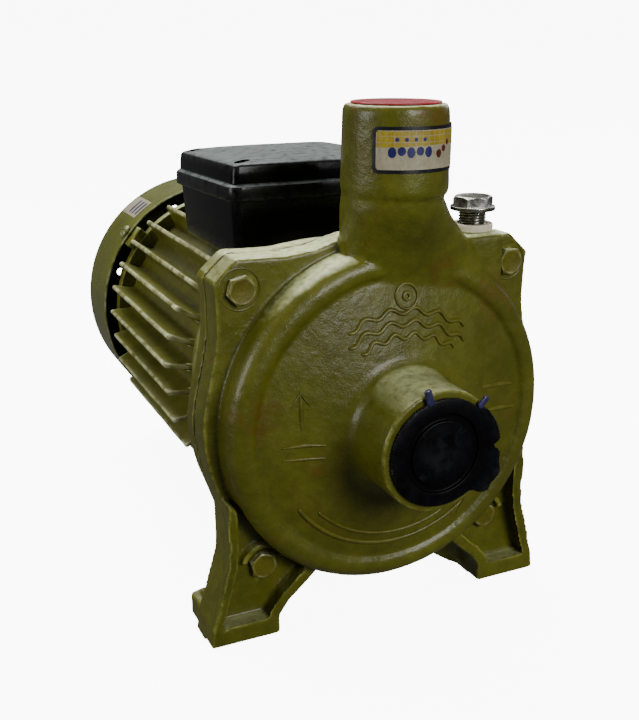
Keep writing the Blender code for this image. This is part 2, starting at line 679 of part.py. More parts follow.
def build_bearing(name, size):
    pitch = (size["bore"] + size["outer"]) / 2
    ball = 0.28 * (size["outer"] - size["bore"])
    half = size["width"] / 2
    outer = turned(f"{name}_outer_race", race_profile(size["outer"] - RACE_GAP, pitch, ball, half, 1),
                   ROUND, STEEL)
    inner = turned(f"{name}_inner_race", race_profile(size["bore"] + RACE_GAP, pitch, ball, half, -1),
                   ROUND, STEEL)
    cage = turned(f"{name}_balls", ring(pitch - 0.8 * MM, pitch + 0.8 * MM, -1.1 * MM, 1.1 * MM), 14, STEEL)
    shape = bmesh.new()
    for i in range(BALLS):
        angle = 2 * math.pi * (i + 0.5) / BALLS
        place = Matrix.Translation((pitch * math.cos(angle), pitch * math.sin(angle), 0))
        bmesh.ops.create_uvsphere(shape, u_segments=6, v_segments=4, radius=ball, matrix=place)
    mesh = bpy.data.meshes.new(f"{name}_ball_set")
    shape.to_mesh(mesh)
    shape.free()
    balls = add_object(f"{name}_ball_set", mesh, None, SHAFT_LINE)
    join(cage, balls)
    for piece in (outer, inner, cage, balls):
        piece.location = (0, 0, size["centre"])


def build_wave_washer():
    """A spring washer with three waves, between the rear bearing and its housing."""
    washer = turned("wave_washer", ring(13.4 * MM, 17.0 * MM, -0.25 * MM, 0.25 * MM), 30)
    bpy.context.view_layer.update()
    evaluated = washer.evaluated_get(bpy.context.evaluated_depsgraph_get())
    mesh = bpy.data.meshes.new_from_object(evaluated)
    mesh.name = "wave_washer"
    bpy.data.objects.remove(washer)
    for vertex in mesh.vertices:
        vertex.co.z += 0.35 * MM * math.sin(3 * math.atan2(vertex.co.y, vertex.co.x))
    made = add_object("wave_washer", mesh, STEEL, SHAFT_LINE)
    made.location = (0, 0, 216.45 * MM)


# ---------------------------------------------------------------- motor
def build_rotor():
    """Laminated core with a cast ring at each end."""
    edge = ROTOR_RADIUS / MM
    turned("rotor_core", in_metres([
        (10.3, 184), (18, 184), (18, 192), (28.5, 192), (28.5, 184), (edge, 184), (edge, 92), (28.5, 92),
        (28.5, 84), (18, 84), (18, 92), (10.3, 92)]), ROUND, LAMINATION)


def stator_bore_outline():
    """The bore with its slots, as one closed outline."""
    points = []
    for slot in range(SLOTS):
        middle = 2 * math.pi * slot / SLOTS
        for radius, half in ((31, 1.3), (33.5, 1.3), (34.2, 2.6), (46.5, 3.4), (46.5, -3.4), (34.2, -2.6),
                             (33.5, -1.3), (31, -1.3)):
            angle = middle - half / radius
            points.append((radius * MM * math.cos(angle), radius * MM * math.sin(angle)))
        tooth = middle + math.pi / SLOTS
        points.append((STATOR_BORE * math.cos(tooth), STATOR_BORE * math.sin(tooth)))
    return points


def build_stator():
    outlines = [circle(STATOR_RADIUS, FINE), stator_bore_outline()]
    stator = outline_solid(
        "stator_core", outlines, STATOR_FRONT, STATOR_REAR, finish=LAMINATION, parent=SHAFT_CENTRE)
    cut(stator, *tie_rod_holes("stator_notch", 2.9 * MM, STATOR_FRONT - MM, STATOR_REAR + MM))
    winding = turned("stator_winding", in_metres([
        (35, 76.5), (48.5, 76.5), (52, 80), (52, 93.5), (33.8, 93.5), (33.8, 78)]), ROUND, COPPER)
    rear_turns = turned("rear_end_turns", in_metres([
        (33.8, 182.5), (52, 182.5), (52, 196), (48.5, 199.5), (35, 199.5), (33.8, 198)]), ROUND)
    bars = []
    for slot in range(SLOTS):
        middle = 2 * math.pi * slot / SLOTS
        corners = ((34.9, 2.1), (45.9, 2.9), (45.9, -2.9), (34.9, -2.1))
        bars.append([(r * MM * math.cos(middle - h / r), r * MM * math.sin(middle - h / r))
                     for r, h in corners])
    slot_bars = outline_solid("winding_in_slots", bars, 88 * MM, 188 * MM, parent=SHAFT_CENTRE)
    join(winding, slot_bars, rear_turns)


def fin_tip_radius(angle):
    return LOW_FINS.get(angle, FIN_RADIUS)


def finned_outline():
    """The drum's outline with a radial fin at each fin angle, on both sides."""
    angles = sorted([a for a in FIN_ANGLES] + [90] + [180 - a for a in FIN_ANGLES])
    points = []
    for angle in angles:
        tip = fin_tip_radius(angle if angle <= 90 else 180 - angle)
        direction = math.radians(angle)
        along = Vector((math.cos(direction), math.sin(direction)))
        across = Vector((-math.sin(direction), math.cos(direction)))
        for side in (-1, 1):
            root = along * (DRUM_RADIUS - 0.8 * MM) + across * side * FIN_THICKNESS * 0.7
            end = along * tip + across * side * FIN_THICKNESS * 0.4
            points += [tuple(root), tuple(end)] if side < 0 else [tuple(end), tuple(root)]
    lowest = math.radians(angles[-1] + 6), math.radians(angles[0] - 6 + 360)
    steps = 8
    for i in range(steps + 1):
        angle = lowest[0] + (lowest[1] - lowest[0]) * i / steps
        points.append((DRUM_RADIUS * math.cos(angle), DRUM_RADIUS * math.sin(angle)))
    return points


def build_frame():
    """Finned motor frame with a pad for the terminal box on top and one for the support below."""
    frame = outline_solid(
        "motor_frame", [finned_outline()], FIN_FRONT, FRAME_REAR, finish=GREEN_CASTING, parent=SHAFT_CENTRE)
    neck = turned("frame_front_ring", disc(BARREL_RADIUS, FRAME_FRONT, FIN_FRONT + 1.5 * MM), FINE)
    box_pad = block("box_pad", (-32 * MM, 77.6 * MM, 150 * MM), (32 * MM, 130 * MM, BOX_BOTTOM - GAP))
    foot_pad = block("support_pad", (-16 * MM, 90 * MM, PAD_BOTTOM), (16 * MM, 124 * MM, 50 * MM))
    room = block("box_room", (-BOX_HALF_WIDTH - MM, BOX_FRONT - MM, BOX_BOTTOM - 2 * GAP),
                 (BOX_HALF_WIDTH + MM, BOX_REAR + MM, 190 * MM))
    cut(frame, room)
    join(frame, neck, box_pad, foot_pad)
    cut(frame, turned("frame_bore", disc(FRAME_BORE, FRAME_FRONT - MM, FRAME_REAR + MM), FINE),
        solver="MANIFOLD")
    cut(frame, *tie_rod_holes("frame_rod_groove", 2.9 * MM, FRAME_FRONT - MM, FRAME_REAR + MM),
        solver="MANIFOLD")
    wires = rod("frame_wire_hole", (*WIRE_HOLE, 150 * MM), (*WIRE_HOLE, 175 * MM), 6 * MM)
    box_holes = [rod(f"frame_box_hole_{i}", (x, y, 165.2 * MM), (x, y, 171 * MM), 2.2 * MM, 12)
                 for i, (x, y) in enumerate(box_screw_places(), 1)]
    support_holes = [rod(f"frame_support_hole_{i}", (0, y, 30 * MM), (0, y, 44.6 * MM), 3.25 * MM)
                     for i, y in enumerate(support_screw_places(), 1)]
    cut(frame, wires, *box_holes, *support_holes, solver="MANIFOLD")


def cowl_lug(index, angle_deg):
    """An L-shaped lug behind the rear shield that the cowl is screwed to."""
    profile = in_metres([(207.8, 60), (207.8, 77.8), (228, 77.8), (228, 71.2), (213.4, 71.2), (213.4, 60)])
    spin = math.radians(90 - angle_deg)
    lug = outline_solid(f"cowl_lug_{index}", [profile], -7 * MM, 7 * MM, view="side", parent=SHAFT_CENTRE,
                        spin=spin)
    return lug


def radial_rod(name, angle_deg, low, high, radius, finish=None, sides=12):
    x, z = around(angle_deg, 1.0)
    return rod(name, (x * low, COWL_SCREW_Y, z * low), (x * high, COWL_SCREW_Y, z * high), radius, sides,
               finish,
               SHAFT_CENTRE)


def build_rear_shield():
    shield = turned("rear_shield", in_metres([
        (7.7, 221.3), (22, 221.3), (24, 214), (66, 214), (66, 207.4), (27, 207.4), (23.5, 203.6),
        (17.75, 203.6),
        (17.75, 217.4), (7.7, 217.4)]), ROUND, GREEN_CASTING)
    for i, angle in enumerate(COWL_SCREW_ANGLES, 1):
        join(shield, cowl_lug(i, angle))
    for i, angle in enumerate(COWL_SCREW_ANGLES, 1):
        cut(shield, radial_rod(f"lug_hole_{i}", angle, 72.6 * MM, 82 * MM, 2.7 * MM))
    cut(shield, *tie_rod_holes("shield_rod_hole", 2.7 * MM, SHIELD_FRONT - MM, SHIELD_REAR + MM))


def build_tie_rods():
    for i, (x, z) in enumerate(tie_rod_places(), 1):
        head = (SHIELD_REAR + GAP, SHIELD_REAR + 3.8 * MM)
        shank = (52 * MM, SHIELD_REAR + MM)
        hex_fastener(f"tie_rod_{i}", 4.6 * MM, head, TIE_ROD_RADIUS, shank, ZINC, SHAFT_LINE, (x, -z), 10)


def build_fan():
    fan = turned("fan", in_metres([
        (7.1, 248.2), (11.5, 248.2), (11.5, 232.4), (60, 232.4), (60, 230.4), (11.5, 230.4), (11.5, 225),
        (7.1, 225)]),
        ROUND, BLACK_PLASTIC)
    for i in range(FAN_BLADES):
        blade = block(f"fan_blade_{i + 1}", (-0.9 * MM, 231 * MM, 10 * MM),
                      (0.9 * MM, 247 * MM, FAN_RADIUS), None,
                      SHAFT_CENTRE, 2 * math.pi * (i + 0.5) / FAN_BLADES)
        join(fan, blade)


def build_cowl():
    """A deep-drawn sheet cowl with a rounded rear edge and a ring of radial air slots."""
    outer, inner, rear = COWL_RADIUS, COWL_RADIUS - COWL_SHEET, PUMP_REAR
    bend, steps = 7.0 * MM, 2
    angles = [math.pi / 2 * i / steps for i in range(steps + 1)]
    outside = [(outer - bend + bend * math.cos(a), rear - bend + bend * math.sin(a)) for a in angles]
    small = bend - COWL_SHEET
    inside = [(outer - bend + small * math.cos(a),
              rear - bend + small * math.sin(a)) for a in reversed(angles)]
    back = [(0, rear), (0, rear - COWL_SHEET)]
    profile = [(outer, COWL_FRONT)] + outside + back + inside + [(inner, COWL_FRONT)]
    # the section is open at the axis: its two ends there close on themselves when turned
    start = profile.index((0, rear))
    profile = profile[start + 1:] + profile[:start + 1]
    cowl = turned("fan_cowl", profile, FINE, GREEN_SHEET)
    shape = bmesh.new()
    slots = 12
    for i in range(slots):
        spin = Matrix.Rotation(2 * math.pi * (i + 0.5) / slots, 4, "Y")
        place = Matrix.Translation((0, rear, 44 * MM)) @ Matrix.Diagonal((5 * MM, 8 * MM, 34 * MM, 1))
        bmesh.ops.create_cube(shape, size=1.0, matrix=spin @ place)
    mesh = bpy.data.meshes.new("air_slots")
    shape.to_mesh(mesh)
    shape.free()
    cut(cowl, add_object("air_slots", mesh, None, SHAFT_CENTRE))
    for i, angle in enumerate(COWL_SCREW_ANGLES, 1):
        cut(cowl, radial_rod(f"cowl_hole_{i}", angle, 76 * MM, 84 * MM, 2.7 * MM))
        screw = radial_rod(f"cowl_screw_{i}", angle, COWL_RADIUS + GAP, COWL_RADIUS + 3 * MM, 4.4 * MM, ZINC)
        join(screw, radial_rod(f"cowl_screw_{i}_shank", angle, 73 * MM, COWL_RADIUS + MM, 2.35 * MM))


# ---------------------------------------------------------------- terminal box
def box_screw_places():
    return [(6 * MM, 85 * MM), (6 * MM, 121 * MM)]


def lid_screw_places():
    inset = 7.5 * MM
    return [(side * (BOX_HALF_WIDTH - inset), y)
            for y in (BOX_FRONT + inset, BOX_REAR - inset) for side in (-1, 1)]


def upright(name, place, radius, low, high, sides=SMALL, finish=None):
    return rod(name, (*place, low), (*place, high), radius, sides, finish)


def build_box_base():
    base = block("terminal_box_base", (-BOX_HALF_WIDTH, BOX_FRONT, BOX_BOTTOM),
                 (BOX_HALF_WIDTH, BOX_REAR, BOX_RIM), BLACK_PLASTIC)
    soften(base, 2.0 * MM)
    inner = BOX_HALF_WIDTH - BOX_WALL
    cut(base, block("box_base_inside", (-inner, BOX_FRONT + BOX_WALL, BOX_FLOOR),
                    (inner, BOX_REAR - BOX_WALL, BOX_RIM + 5 * MM)))
    for i, place in enumerate(lid_screw_places(), 1):
        join(base, upright(f"base_column_{i}", place, 5.2 * MM, BOX_FLOOR - MM, BOX_RIM))
    for i, place in enumerate(lid_screw_places(), 1):
        cut(base, upright(f"base_column_hole_{i}", place, 2.2 * MM, 186 * MM, BOX_RIM + MM, 12))
    for i, place in enumerate(box_screw_places(), 1):
        cut(base, upright(f"base_floor_hole_{i}", place, 2.3 * MM, BOX_BOTTOM - MM, BOX_FLOOR + MM, 12))
    cut(base, upright("base_wire_hole", WIRE_HOLE, 6 * MM, BOX_BOTTOM - MM, BOX_FLOOR + MM))
    cut(base, rod("gland_hole", (46 * MM, *GLAND), (52 * MM, *GLAND), 8.2 * MM, MEDIUM))


def build_box_lid():
    lid = block("terminal_box_lid", (-BOX_HALF_WIDTH, BOX_FRONT, LID_BOTTOM + 2 * MM),
                (BOX_HALF_WIDTH, BOX_REAR, LID_TOP), BLACK_PLASTIC)
    soften(lid, 2.0 * MM)
    lip = 2.5 * MM
    band = soften(block("lid_band", (-BOX_HALF_WIDTH - lip, BOX_FRONT - lip, LID_BOTTOM),
                        (BOX_HALF_WIDTH + lip, BOX_REAR + lip, LIP_TOP)), 1.2 * MM)
    join(lid, band)
    step = 205.8 * MM
    skirt = BOX_HALF_WIDTH + GAP
    cut(lid, block("lid_skirt_inside", (-skirt, BOX_FRONT - GAP, LID_BOTTOM - MM),
        (skirt, BOX_REAR + GAP, step)))
    inner = BOX_HALF_WIDTH - BOX_WALL
    top = LID_TOP - BOX_WALL
    cut(lid, block("lid_inside", (-inner, BOX_FRONT + BOX_WALL, step - MM),
        (inner, BOX_REAR - BOX_WALL, top)))
    for i, place in enumerate(lid_screw_places(), 1):
        join(lid, upright(f"lid_column_{i}", place, 5.2 * MM, step, top + MM))
    for i, place in enumerate(lid_screw_places(), 1):
        cut(lid, upright(f"lid_hole_{i}", place, 2.2 * MM, step - MM, LID_TOP + MM, 12))
        cut(lid, upright(f"lid_counterbore_{i}", place, 4.0 * MM, 216.6 * MM, LID_TOP + MM))
        screw = upright(f"lid_screw_{i}", place, 3.6 * MM, 216.9 * MM, 219.4 * MM, SMALL, ZINC)
        join(screw, upright(f"lid_screw_{i}_shank", place, 1.9 * MM, 188 * MM, 217.5 * MM, 10))


def build_box_gasket():
    outer_x, inner_x = 49.4 * MM, 47.8 * MM
    inset = BOX_HALF_WIDTH - outer_x
    outer = [(-outer_x, BOX_FRONT + inset), (outer_x, BOX_FRONT + inset), (outer_x, BOX_REAR - inset),
             (-outer_x, BOX_REAR - inset)]
    edge = BOX_HALF_WIDTH - inner_x
    inner = [(-inner_x, BOX_FRONT + edge), (inner_x, BOX_FRONT + edge), (inner_x, BOX_REAR - edge),
             (-inner_x, BOX_REAR - edge)]
    gasket = outline_solid(
        "terminal_box_gasket", [outer, inner], BOX_RIM + GAP, 205.5 * MM, view="top", finish=RUBBER)
    for i, place in enumerate(lid_screw_places(), 1):
        cut(gasket, upright(f"gasket_clearance_{i}", place, 5.6 * MM, BOX_RIM - MM, 207 * MM))


def build_box_contents():
    for i, place in enumerate(box_screw_places(), 1):
        screw = upright(f"box_screw_{i}", place, 3.8 * MM, BOX_FLOOR + GAP, BOX_FLOOR + 2.6 * MM, SMALL, ZINC)
        join(screw, upright(f"box_screw_{i}_shank", place, 1.9 * MM, 165.8 * MM, BOX_FLOOR + MM, 10))
    middle_z = BOX_FLOOR + 17.9 * MM
    can = rod("capacitor", (-24 * MM, 60 * MM, middle_z), (-24 * MM, 122 * MM, middle_z), 17 * MM, ROUND,
              GREY_PLASTIC)
    for i, side in enumerate((-1, 1), 1):
        x = (-24 + 6 * side) * MM
        join(can, block(f"capacitor_tab_{i}", (x - 2.5 * MM, 54 * MM, middle_z - 0.5 * MM),
                        (x + 2.5 * MM, 62 * MM, middle_z + 0.5 * MM)))
    board = block("terminal_board", (18 * MM, 62 * MM, BOX_FLOOR + GAP), (40 * MM, 112 * MM, 180 * MM),
                  GREY_PLASTIC)
    for i in range(3):
        join(board, upright(f"terminal_stud_{i + 1}", (29 * MM, (72 + 15 * i) * MM), 2.4 * MM, 178 * MM,
             189 * MM, 10))


def build_cable_gland():
    """A screwed gland on the side of the box, its two pieces turned about an axis along X."""
    line = new_empty("gland_line", (0, SEAM_Y + GLAND[0], GLAND[1]), (0, math.pi / 2, 0))
    body = turned("cable_gland_body", in_metres([
        (5, 45), (7.8, 45), (7.8, 50.6), (8.6, 50.6), (8.6, 62), (5, 62)]), MEDIUM, GREY_PLASTIC, line)
    hexagon = turned("gland_hexagon", ring(8.2 * MM, 11.5 * MM, 50.3 * MM, 55 * MM), 6, None, line)
    join(body, hexagon)
    turned("cable_gland_nut", in_metres([
        (4.5, 70), (8, 70), (11, 66), (11.4, 56), (8.95, 56), (8.95, 63), (4.5, 67)]), MEDIUM, GREY_PLASTIC,
        line)


# ---------------------------------------------------------------- motor support
def support_screw_places():
    return [100 * MM, 114 * MM]


def build_motor_support():
    """A bent sheet foot under the motor: a flat top, two sloping legs and two turned-out soles."""
    sheet = SUPPORT_SHEET / MM
    top = SUPPORT_TOP / MM
    right_half = [(18, top), (27, sheet), (39, sheet), (39, 0), (24.6, 0), (15.6, top - sheet)]
    support = outline_solid("motor_support", [whole_outline(right_half)], SUPPORT_FRONT, SUPPORT_REAR,
                            finish=GREEN_SHEET)
    for i, y in enumerate(support_screw_places(), 1):
        cut(support, upright(f"support_top_hole_{i}", (0, y), 3.3 * MM, 30 * MM, 40 * MM))
        screw = upright(f"support_screw_{i}", (0, y), 5.6 * MM, 29.9 * MM, 33.9 * MM, 6, ZINC)
        join(screw, upright(f"support_screw_{i}_shank", (0, y), 2.9 * MM, 33 * MM, 44 * MM, 12))
    for i, side in enumerate((-1, 1), 1):
        cut(support, upright(f"support_sole_hole_{i}", (side * 33 * MM, 107 * MM), 3 * MM, -MM, 5 * MM))


# ---------------------------------------------------------------- everything
def main():
    build_casing()
    build_casing_gasket()
    build_casing_bolts()
    build_port_plugs()
    build_priming_plug()
    build_bracket()
    build_seal()
    build_impeller()
    build_shaft()
    build_bearing("front_bearing", FRONT_BEARING)
    build_bearing("rear_bearing", REAR_BEARING)
    build_wave_washer()
    build_rotor()
    build_stator()
    build_frame()
    build_rear_shield()
    build_tie_rods()
    build_fan()
    build_cowl()
    build_box_base()
    build_box_lid()
    build_box_gasket()
    build_box_contents()
    build_cable_gland()
    build_motor_support()


main()
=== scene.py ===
"""Looks of the centrifugal water pump: visual pieces and procedural materials over the CAD frame.

Pieces are modelled in millimetres in the seam frame: x across, y behind the joint between pump casing and
motor bracket, z up from the floor. They are moved into the row frame when they are finished.
"""

import json
import math

import bmesh
import bpy
import numpy as np
from mathutils import Matrix, Vector, noise


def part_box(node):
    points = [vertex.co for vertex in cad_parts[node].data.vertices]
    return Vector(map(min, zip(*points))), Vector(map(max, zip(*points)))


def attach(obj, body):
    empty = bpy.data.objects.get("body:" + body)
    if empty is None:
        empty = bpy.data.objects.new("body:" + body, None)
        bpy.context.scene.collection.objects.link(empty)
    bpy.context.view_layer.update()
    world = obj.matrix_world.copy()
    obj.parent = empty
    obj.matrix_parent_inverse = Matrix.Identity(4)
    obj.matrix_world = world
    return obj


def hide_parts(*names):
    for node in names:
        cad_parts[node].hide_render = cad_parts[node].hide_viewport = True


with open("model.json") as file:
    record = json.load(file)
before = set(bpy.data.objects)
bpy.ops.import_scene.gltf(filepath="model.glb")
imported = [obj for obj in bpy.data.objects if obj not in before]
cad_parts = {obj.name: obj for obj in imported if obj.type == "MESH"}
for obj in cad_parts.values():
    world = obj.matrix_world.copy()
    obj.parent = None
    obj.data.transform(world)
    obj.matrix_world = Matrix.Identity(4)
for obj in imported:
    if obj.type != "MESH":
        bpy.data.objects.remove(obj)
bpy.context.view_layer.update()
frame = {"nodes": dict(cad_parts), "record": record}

# Camera
camera = bpy.data.objects.new("camera", bpy.data.cameras.new("camera"))
bpy.context.scene.collection.objects.link(camera)
camera.location = (-0.2131, -0.50285, 0.2762)
camera.rotation_euler = (math.radians(71.77), math.radians(0.06), math.radians(-24.84))
camera.data.lens = 49.14
camera.data.sensor_width = 36.0
camera.data.clip_start = 0.01
camera.data.clip_end = 50.0
bpy.context.scene.camera = camera

# The frame's dimensions
MM = 0.001
gasket_low, gasket_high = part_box("casing_gasket")
SEAM_Y = (gasket_low.y + gasket_high.y) / 2
spin = next(joint for joint in frame["record"]["behaviour"]["joints"] if joint["name"] == "rotor_spin")
AXIS = spin["pos_m"][2] / MM
TO_ROW = Matrix.Translation((0, SEAM_Y, 0)) @ Matrix.Scale(MM, 4)
NODE_SLOT = {entry["node"]: entry["material_slot"] for entry in frame["record"]["subparts"]}

# SHAFT has its local Z back along the shaft. In FRONT an outline is in (x, z) and its depth in y, in SIDE
# they are (y, z) and x, and in TOP (x, y) and z.
SHAFT = Matrix(((1, 0, 0, 0), (0, 0, 1, 0), (0, -1, 0, AXIS), (0, 0, 0, 1)))
FRONT = Matrix(((1, 0, 0, 0), (0, 0, 1, 0), (0, 1, 0, 0), (0, 0, 0, 1)))
SIDE = Matrix(((0, 0, 1, 0), (1, 0, 0, 0), (0, 1, 0, 0), (0, 0, 0, 1)))
TOP = Matrix.Identity(4)

FLANGE_TOP = [(0, 192), (10, 192), (23, 189), (33, 186), (47, 184.3), (60, 184.5), (71, 185)]
FLANGE_SIDE = [(82, 175), (81, 165), (80.8, 150), (83, 138), (85.3, 128), (88.5, 114), (89.3, 105),
               (88.3, 95), (85.5, 82), (82, 72.5)]
LEG_OUTSIDE = [(81, 62), (80.8, 50), (81.5, 41), (84.5, 31), (87.5, 20), (91, 10), (92.2, 0)]
LEG_INSIDE = [(56.6, 0), (56.8, 9.5), (51.4, 17), (46, 21.7), (39.7, 27.3), (30, 38)]
LEG_POCKET = [(38, 40), (44, 31), (49, 26), (55, 21), (61, 13.5), (62, 9.5), (86, 9.5), (83, 19),
              (80, 30), (77.4, 40), (76.4, 50), (77, 70)]
EAR_OUTLINE = [(77.5, 60), (75.5, 47), (74.5, 36), (71, 28), (64, 24.8), (55, 25.6), (46, 30.2)]
RING_BOTTOM = [(38, 33.8), (20, 26.7), (0, 24.2)]
BOLTS = [(side * x, z) for x, z in ((70, 171.5), (62.6, 35.5)) for side in (-1, 1)]
COLLAR = (-0.3, -25.6)
PRIMING = (49.0, -14.0)
DOME = [(72, -32.6), (70, -30.8), (68, -31.4), (50, -35.6), (34, -39.5), (30.2, -42), (28.5, -46)]
SCREW_ANGLES = (40, 140, 220, 320)  # of the cowl's screws
SCREW_Y = 221
SCREW_HOLE = 2.7
TIE_ROD_CIRCLE = 58.5
BOX_Y = 90  # the terminal box's middle
LID_LEAN = 0.022
COLLAR_RADIUS = 23.8
LABEL_RADIUS = 24.02
BOSS_RADIUS = 28.5
PORT_RADIUS = 15.4
CASING_VOXEL = 0.95
BRACKET_VOXEL = 1.2
GLAND_LINE = Matrix.Translation((0, BOX_Y, 182)) @ Matrix.Rotation(math.pi / 2, 4, "Y")
LID_SCREWS = [(side * 42.5, y) for y in (52.5, 127.5) for side in (-1, 1)]


# Outlines and sections
def upright(x, y):
    """A place whose local Z runs up from a point of the top view."""
    return Matrix.Translation((x, y, 0))


def level(x, z):
    """A place whose local Z runs back from a point of the front view."""
    return Matrix.Translation((x, 0, z - AXIS)) @ SHAFT


def around(angle):
    """A place on the shaft's centre, turned about the shaft."""
    return Matrix.Translation((0, 0, AXIS)) @ Matrix.Rotation(math.radians(angle), 4, "Y")


def polar(angle, radius):
    return radius * math.cos(math.radians(angle)), radius * math.sin(math.radians(angle))


def whole(right_half):
    """A closed outline from its right half, listed from the top middle to the bottom middle."""
    left = [(-x, z) for x, z in reversed(right_half) if x > 0]
    return right_half + left


def mirrored(points):
    return [(-x, z) for x, z in reversed(points)]


def eased(points, reach, steps=4, is_open=False):
    """Rounds the corners of an outline; the two ends of an open one stay."""
    made = []
    count = len(points)
    for i, p in enumerate(points):
        if is_open and i in (0, count - 1):
            made.append(p)
            continue
        here, before, after = Vector(p), Vector(points[i - 1]), Vector(points[(i + 1) % count])
        back, on = before - here, after - here
        start = here + back.normalized() * min(reach, back.length * 0.45)
        end = here + on.normalized() * min(reach, on.length * 0.45)
        for step in range(steps + 1):
            t = step / steps
            made.append(tuple(start * (1 - t) ** 2 + here * 2 * t * (1 - t) + end * t * t))
    return made


def flowing(rows, per=5):
    """A smooth curve through rows of numbers."""
    made = []
    last = len(rows) - 1
    for i in range(last):
        a, b, c, d = (rows[min(max(i + k, 0), last)] for k in (-1, 0, 1, 2))
        for step in range(per):
            t = step / per
            made.append(tuple(0.5 * (2 * q + (r - p) * t + (2 * p - 5 * q + 4 * r - s) * t * t
                                     + (3 * q - p - 3 * r + s) * t ** 3)
                              for p, q, r, s in zip(a, b, c, d)))
    return made + [tuple(rows[-1])]


def rounded_rect(x_low, x_high, y_low, y_high, radius, steps=8):
    points = []
    corners = ((x_high, y_high, 0), (x_low, y_high, 90), (x_low, y_low, 180), (x_high, y_low, 270))
    for cx, cy, turn in corners:
        cx -= math.copysign(radius, cx - (x_low + x_high) / 2)
        cy -= math.copysign(radius, cy - (y_low + y_high) / 2)
        for i in range(steps + 1):
            x, y = polar(turn + 90 * i / steps, radius)
            points.append((cx + x, cy + y))
    return points


def inset(points, distance):
    """A closed outline moved inwards by a distance."""
    area = sum(a[0] * b[1] - b[0] * a[1] for a, b in zip(points, points[1:] + points[:1]))
    sign = math.copysign(distance, area)
    moved = []
    for i, p in enumerate(points):
        here = Vector(p)
        came = (here - Vector(points[i - 1])).normalized()
        goes = (Vector(points[(i + 1) % len(points)]) - here).normalized()
        across = Vector((-came.y - goes.y, came.x + goes.x))
        moved.append(tuple(here + across * sign / max(across.length_squared / 2, 0.5)))
    return moved


# Solids
def skin(rows, closed=False):
    """Joins rings of points by faces. The end rings are capped, or joined to each other if closed."""
    shape = bmesh.new()
    rings = [[shape.verts.new(p) for p in row] for row in rows]
    pairs = list(zip(rings, rings[1:]))
    if closed:
        pairs.append((rings[-1], rings[0]))
    for a, b in pairs:
        count = max(len(a), len(b))
        for k in range(count):
            n = (k + 1) % count
            corners = dict.fromkeys((a[k % len(a)], a[n % len(a)], b[n % len(b)], b[k % len(b)]))
            if len(corners) > 2:
                shape.faces.new(list(corners))
    for ring in (rings[0], rings[-1]):
        if not closed and len(ring) > 2:
            shape.faces.new(ring)
    return shape


def lathe(profile, place=SHAFT, sides=128, swell=None):
    """Turns a (radius, height) profile about local Z. One that misses the axis closes on itself."""
    rows = []
    for i, (radius, height) in enumerate(profile):
        if radius == 0:
            rows.append([place @ Vector((0, 0, height))])
            continue
        row = []
        for k in range(sides):
            angle = 2 * math.pi * k / sides
            r = swell(i, angle, radius) if swell else radius
            row.append(place @ Vector((r * math.cos(angle), r * math.sin(angle), height)))
        rows.append(row)
    return skin(rows, closed=min(profile[0][0], profile[-1][0]) > 0)


def slab(outline, low, high, place=FRONT, ease_low=0.0, ease_high=0.0, steps=3):
    """An outline with depth, its edges rounded by the given radii."""
    layers = []
    for i in range(steps + 1 if ease_low else 1):
        a = math.pi / 2 * i / steps
        layers.append((ease_low * (1 - math.sin(a)), low + ease_low * (1 - math.cos(a))))
    for i in range(steps + 1 if ease_high else 1):
        a = math.pi / 2 * i / steps
        layers.append((ease_high * (1 - math.cos(a)), high - ease_high * (1 - math.sin(a))))
    rows = []
    for shrink, depth in layers:
        points = inset(outline, shrink) if shrink else outline
        rows.append([place @ Vector((u, v, depth)) for u, v in points])
    return skin(rows)


def disc(radius, low, high, place=SHAFT, sides=96, ease=0.0):
    if not ease:
        return lathe([(0, low), (radius, low), (radius, high), (0, high)], place, sides)
    edge = eased([(0.01, low), (radius, low), (radius, high), (0.01, high)], ease, 4, True)
    return lathe([(0, low)] + edge + [(0, high)], place, sides)


def bead(path, width, height, surface, closed=False, sides=10):
    """A raised rounded line on a surface; path holds (x, z) points and surface gives the y there."""
    rows = []
    count = len(path)
    for i, p in enumerate(path):
        before = Vector(path[i - 1] if closed or i else p)
        after = Vector(path[(i + 1) % count] if closed or i < count - 1 else p)
        along = (after - before).normalized()
        across = Vector((-along.y, along.x))
        end = 1.0 if closed or 0 < i < count - 1 else 0.45
        row = []
        for k in range(sides):
            a = 2 * math.pi * k / sides
            at = Vector(p) + across * math.cos(a) * width / 2 * end
            row.append(Vector((at.x, surface(at.x, at.y) - math.sin(a) * height * end, at.y)))
        rows.append(row)
    return skin(rows, closed=closed)


def hex_section(corner, limit, angle):
    """The radius at an angle of a hexagon whose corners a cone has cut back to a limit."""
    from_flat = (math.degrees(angle) + 30) % 60 - 30
    return min(corner * math.cos(math.radians(30)) / math.cos(math.radians(from_flat)), limit)


